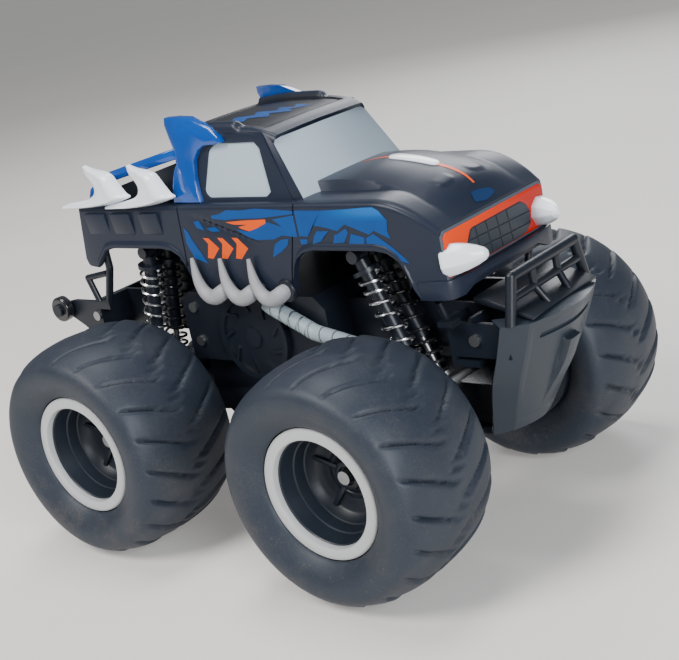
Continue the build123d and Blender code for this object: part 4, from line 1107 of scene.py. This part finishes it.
def make_top_ink():
    """Patches on the roof panel and on the nose."""
    bm = sheet([(x, y, 0) for x, y in ROOF_INK], 3)
    for vert in bm.verts:
        x, y = vert.co.x, vert.co.y
        crown = ROOF_CROWN * (1 - (y / ROOF_HALF_W) ** 2)
        vert.co.z = curve_through(ROOF_LINE, x) + crown - ROOF_PANEL_SINK + INK_LIFT
    patch = sheet([(x, y, 0) for x, y in TOP_INK], 5)
    for vert in patch.verts:
        vert.co.z = top_height(vert.co.x, vert.co.y) + 0.3
    absorb(bm, patch)
    bmesh.ops.recalc_face_normals(bm, faces=bm.faces)
    for face in bm.faces:
        if face.normal.z < 0:
            face.normal_flip()
    return bm


# --------------------------------------------------------------------- wheels

LUGS = 20
LUG_DEPTH = 2.2
BEAD_HALF_W = 25.9
WALL_BULGE = 6.1
TREAD_R = 44.0
TYRE_STEPS = 400


def tyre_section():
    """(y, r) profile of the balloon tyre from its outer bead to its inner bead, centred on y = 0."""
    points = [(25.2, BEAD_R), (BEAD_HALF_W, BEAD_R + 0.3)]
    mid_r = (WHEEL_R + BEAD_R) / 2
    rise = WHEEL_R - mid_r
    wall = []
    for step in range(1, 9):
        t = step / 9
        bulge = BEAD_HALF_W + WALL_BULGE * math.sin(t * math.pi / 2) ** 0.9
        wall.append((bulge, BEAD_R + 0.3 + (mid_r - BEAD_R - 0.3) * t))
    points += wall
    power = 2 / 2.6
    for step in range(47):
        angle = math.pi * step / 46
        cosine = math.cos(angle)
        y = math.copysign(abs(cosine) ** power, cosine) * TYRE_HALF_W
        points.append((y, mid_r + abs(math.sin(angle)) ** power * rise))
    points += [(-y, r) for y, r in reversed(wall)]
    return points + [(-BEAD_HALF_W, BEAD_R + 0.3), (-25.2, BEAD_R)]


def lug_drop(theta, across):
    """How far the tread lies below its crown at an angle and a place across, -1 to 1."""
    reach = abs(across)
    sweep = 0.95 * (1 - reach) + 0.6 * max(0.0, 1 - reach / 0.1) ** 2
    stagger = 0.5 if across < 0 else 0.0
    phase = (theta * LUGS / TAU - sweep + stagger) % 1.0
    groove = smoothstep(0.10, 0.02, min(phase, 1 - phase))
    slope = 0.45 * phase**1.6
    fade = smoothstep(0.97, 0.80, reach)
    return LUG_DEPTH * min(1.0, max(groove, slope)) * fade


def set_wheel(bm, x, side):
    """Moves a wheel piece made at y = 0 to its place, turned round on the left."""
    bmesh.ops.scale(bm, vec=(1, side, 1), verts=bm.verts)
    bmesh.ops.translate(bm, vec=(x, side * TYRE_Y, WHEEL_R), verts=bm.verts)
    return settle(bm)


def make_tyre(x, side):
    """Balloon tyre whose tread is lowered between its lugs."""
    bm = lathe(tyre_section(), TYRE_STEPS)
    for vert in bm.verts:
        r = math.hypot(vert.co.x, vert.co.z)
        if r > TREAD_R:
            theta = math.atan2(vert.co.x, vert.co.z)
            across = vert.co.y / TYRE_HALF_W
            shoulder = smoothstep(TREAD_R, 49.5, r)
            drop = lug_drop(theta, max(-1.0, min(1.0, across * 1.02))) * shoulder
            vert.co.x *= (r - drop) / r
            vert.co.z *= (r - drop) / r
    return set_wheel(bm, x, side)


RIM_PROFILE = [(-29.0, 27.6), (-29.0, 30.9), (22.6, 30.9), (22.6, 25.2), (22.0, 24.6), (15.0, 23.4),
               (14.6, 22.7), (9.6, 21.8), (9.2, 21.1), (5.2, 19.4), (4.4, 18.2), (3.9, 15.0), (3.7, 12.0),
               (4.2, 11.2), (4.2, 9.6), (3.8, 9.2), (4.6, 7.4), (6.4, 6.6), (6.8, 5.9), (6.8, 4.4),
               (5.6, 4.0), (5.4, 3.4), (-1.0, 3.4)]
RIM_BACK = [(-29.0, 27.6), (0.6, 27.0), (0.8, 8.0), (-7.0, 7.4), (-7.0, 3.4), (-1.0, 3.4)]
RING_PROFILE = [(22.8, 30.5), (25.3, 30.5), (25.9, 30.1), (26.2, 29.3), (26.2, 26.2), (26.0, 25.4),
                (25.4, 25.0), (22.8, 25.0)]
SPOKES = 5


def make_rim(x, side):
    """Deep dished rim with ribs on its face."""
    bm = lathe(RIM_PROFILE, 96)
    absorb(bm, lathe(RIM_BACK, 96))
    for number in range(SPOKES):
        rib = block((-1.4, 2.0, 7.0), (1.4, 4.6, 21.6), 0.9)
        for vert in rib.verts:
            if vert.co.y > 4 and vert.co.z > 14:
                vert.co.y += 1.6
        turn = Matrix.Rotation(TAU * number / SPOKES, 3, "Y")
        bmesh.ops.rotate(rib, cent=(0, 0, 0), matrix=turn, verts=rib.verts)
        absorb(bm, rib)
    return set_wheel(bm, x, side)


def make_ring(x, side):
    return set_wheel(lathe(RING_PROFILE, 128), x, side)


# -------------------------------------------------------------------- springs

# upper pin and lower eye as (x, z), and the stroke
SHOCKS = {
    "front": ((67.0, 140.0), (93.5, 72.0), 9.36),
    "rear": ((-71.0, 140.5), (-84.0, 72.0), 8.39),
}
SPRING_TURNS = 10
OUTER_SPRING_Y = 36.5
INNER_SPRING_Y = 23.6
SPRING_R = 5.4
SPRING_WIRE_R = 0.75
SPRING_INSET = 9.7


def make_spring(top, eye, y):
    """A coil between the two spring seats, with closed end turns."""
    length = math.dist(top, eye)
    start, end = SPRING_INSET, length - SPRING_INSET
    down = Vector((eye[0] - top[0], 0, eye[1] - top[1])).normalized()
    side = Vector((0, 1, 0))
    out = down.cross(side)
    points = []
    per_turn = 14
    total = SPRING_TURNS * per_turn
    for step in range(total + 1):
        t = step / total
        eased = t - 0.035 * math.sin(TAU * t)
        turn = TAU * step / per_turn
        radial = out * math.cos(turn) + side * math.sin(turn)
        point = Vector((top[0], y, top[1])) + down * (start + (end - start) * eased) + radial * SPRING_R
        points.append(tuple(point))
    return tube(points, SPRING_WIRE_R, 2, per_point=2)


def make_springs(end, y):
    top, eye, _ = SHOCKS[end]
    return absorb(make_spring(top, eye, -y), make_spring(top, eye, y))


def squash_springs(made):
    """Gives the springs a mesh of their own."""
    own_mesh(made)


# ---------------------------------------------------------------- put together

for node, finish in NODE_FINISH.items():
    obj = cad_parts[node]
    obj.data.materials.clear()
    obj.data.materials.append(finish)

piece("body_panels", make_body(), "chassis", SLATE, "body_plastic", "body_shell", sharp=38)
piece("bed_louvres", make_louvres(), "chassis", SLATE, "body_plastic")
piece("bumper_strip", make_bumper_strip(), "chassis", SLATE, "body_plastic")
piece("cab_sides", make_cab_sides(), "chassis", SLATE, "body_plastic")
piece("cab_pillars", make_pillars(), "chassis", SLATE, "body_plastic")
piece("cab_back", make_cab_back(), "chassis", SLATE, "body_plastic")
piece("cab_roof", make_roof(), "chassis", SLATE, "body_plastic", sharp=60)
piece("windshield", make_windshield(), "chassis", WINDOW, "window_plastic", "window_panels")
piece("side_windows", make_side_windows(), "chassis", WINDOW, "window_plastic")
piece("roll_bar_and_fins", make_fins(), "chassis", GLOSS_BLUE, "blue_plastic", "rollbar_fins", sharp=50)
piece("horns", make_horns(), "chassis", GLOSS_WHITE, "white_plastic", "bed_horns", sharp=45)
piece("tusks", make_tusks(), "chassis", BONE, "bone_plastic", "side_tusks")
piece("tusk_sockets", make_tusk_sockets(), "chassis", BLACK, "body_plastic")
piece("spikes", absorb(spike(-1), spike(1)), "chassis", GLOSS_WHITE, "white_plastic", "headlight_spikes",
      sharp=22)
piece("grille_plate", front_plate(GRILLE_PANEL, 115.0, 117.4), "chassis", ORANGE, "orange_plastic",
      "grille_panel")
# lighter frame round the grille that paints the highlight on the edge of the nose
piece("grille_highlight_frame", front_plate(GRILLE_HIGHLIGHT_FRAME, 114.6, 116.8), "chassis", HIGHLIGHT_GREY, "body_plastic")
piece("skid_shell", make_skid_plate(), "chassis", SKID_GREY, "grey_plastic", "skid_plate", sharp=30)
piece("front_deck", round_edges(plate(DECK, -27, 27), 0.6), "chassis", BLACK, "black_plastic")
piece("grille_cells", make_grille_mesh(), "chassis", MESH_GREY, "grey_plastic", "grille_mesh")
piece("hood_capsule", make_hood_insert(), "chassis", GLOSS_WHITE, "white_plastic", "hood_insert", sharp=50)
piece("blue_graphics", ink_group(SIDE_INK.values()), "chassis", INK_BLUE, "blue_plastic")
piece("orange_graphics", make_orange_ink(), "chassis", INK_ORANGE, "orange_plastic")
piece("top_graphics", make_top_ink(), "chassis", INK_BLUE, "blue_plastic")

for side, hand in ((-1, "right"), (1, "left")):
    for end, x, body in (("front", AXLE_X, f"front_{hand}_wheel"), ("rear", -AXLE_X, "rear_wheelset")):
        wheel = f"{end}_{hand}"
        rings = f"{wheel}_ring" if end == "front" else None
        piece(f"{wheel}_balloon_tyre", make_tyre(x, side), body, RUBBER, "tyre_rubber", f"{wheel}_tyre",
              sharp=60)
        piece(f"{wheel}_dish", make_rim(x, side), body, RIM_BLACK, "rim_plastic", f"{wheel}_rim", sharp=35)
        made = piece(f"{wheel}_trim_ring", make_ring(x, side), body, RING_GREY, "ring_plastic", sharp=40)
        if rings:
            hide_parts(rings)
        elif side == 1:
            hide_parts("rear_rings")

for end in SHOCKS:
    body = f"{end}_shock_uppers"
    outer = piece(f"{end}_outer_springs", make_springs(end, OUTER_SPRING_Y), body, SPRING, "spring_steel",
                  f"{end}_springs")
    inner = piece(f"{end}_inner_springs", make_springs(end, INNER_SPRING_Y), body, GLOSS_BLACK,
                  "shock_plastic")
    squash_springs(outer)
    squash_springs(inner)


# ----------------------------------------------------- stage, lights, camera


def make_floor():
    bm = bmesh.new()
    bmesh.ops.create_grid(bm, x_segments=4, y_segments=4, size=20.0)
    mesh = bpy.data.meshes.new("floor")
    bm.to_mesh(mesh)
    bm.free()
    mesh.materials.append(pale_floor())
    floor = bpy.data.objects.new("floor", mesh)
    bpy.context.scene.collection.objects.link(floor)


def area_light(name, place, target, size, power, colour):
    """Round lamp aimed at a point."""
    data = bpy.data.lights.new(name, "AREA")
    data.shape = "DISK"
    data.size = size
    data.energy = power
    data.color = colour
    light = bpy.data.objects.new(name, data)
    light.location = place
    light.rotation_euler = (Vector(target) - Vector(place)).to_track_quat("-Z", "Y").to_euler()
    bpy.context.scene.collection.objects.link(light)


def make_lights():
    area_light("key", (-0.35, -1.05, 1.2), (0, 0, 0.1), 0.7, 22, (1.0, 0.98, 0.96))
    area_light("front_fill", (1.5, -0.75, 0.7), (0.05, 0, 0.1), 0.8, 29, (0.93, 0.96, 1.0))
    area_light("top", (-0.1, 0.1, 1.6), (0, 0, 0.15), 0.6, 12, (1.0, 1.0, 1.0))
    area_light("rim", (-0.5, 1.3, 0.9), (0, 0, 0.15), 0.8, 10, (0.95, 0.97, 1.0))
    world = bpy.data.worlds.new("studio")
    world.use_nodes = True
    background = world.node_tree.nodes["Background"]
    background.inputs["Color"].default_value = (0.90, 0.94, 1.0, 1.0)
    background.inputs["Strength"].default_value = 0.2
    bpy.context.scene.world = world


CAMERA_AZIMUTH = math.radians(42.66)
CAMERA_ELEVATION = math.radians(17.31)
CAMERA_ROLL = math.radians(-11.78)
CAMERA_DISTANCE = 0.6778
CAMERA_TARGET_Z = 0.090
CAMERA_SLIDE = (0.01048, -0.00258)
CAMERA_LENS = 71.35


def make_camera():
    """Camera beside the front right corner, tipped over to its side."""
    cos_a, sin_a = math.cos(CAMERA_AZIMUTH), math.sin(CAMERA_AZIMUTH)
    cos_e, sin_e = math.cos(CAMERA_ELEVATION), math.sin(CAMERA_ELEVATION)
    back = Vector((sin_a * cos_e, -cos_a * cos_e, sin_e))
    level = Vector((cos_a, sin_a, 0))
    raised = back.cross(level)
    right = level * math.cos(CAMERA_ROLL) + raised * math.sin(CAMERA_ROLL)
    up = raised * math.cos(CAMERA_ROLL) - level * math.sin(CAMERA_ROLL)
    place = Vector((0, 0, CAMERA_TARGET_Z)) + right * CAMERA_SLIDE[0] + up * CAMERA_SLIDE[1]
    place += back * CAMERA_DISTANCE
    data = bpy.data.cameras.new("camera")
    data.lens = CAMERA_LENS
    data.sensor_width = 36.0
    camera = bpy.data.objects.new("camera", data)
    camera.matrix_world = Matrix((
        (right.x, up.x, back.x, place.x),
        (right.y, up.y, back.y, place.y),
        (right.z, up.z, back.z, place.z),
        (0, 0, 0, 1),
    ))
    bpy.context.scene.collection.objects.link(camera)
    bpy.context.scene.camera = camera


make_floor()
make_lights()
make_camera()
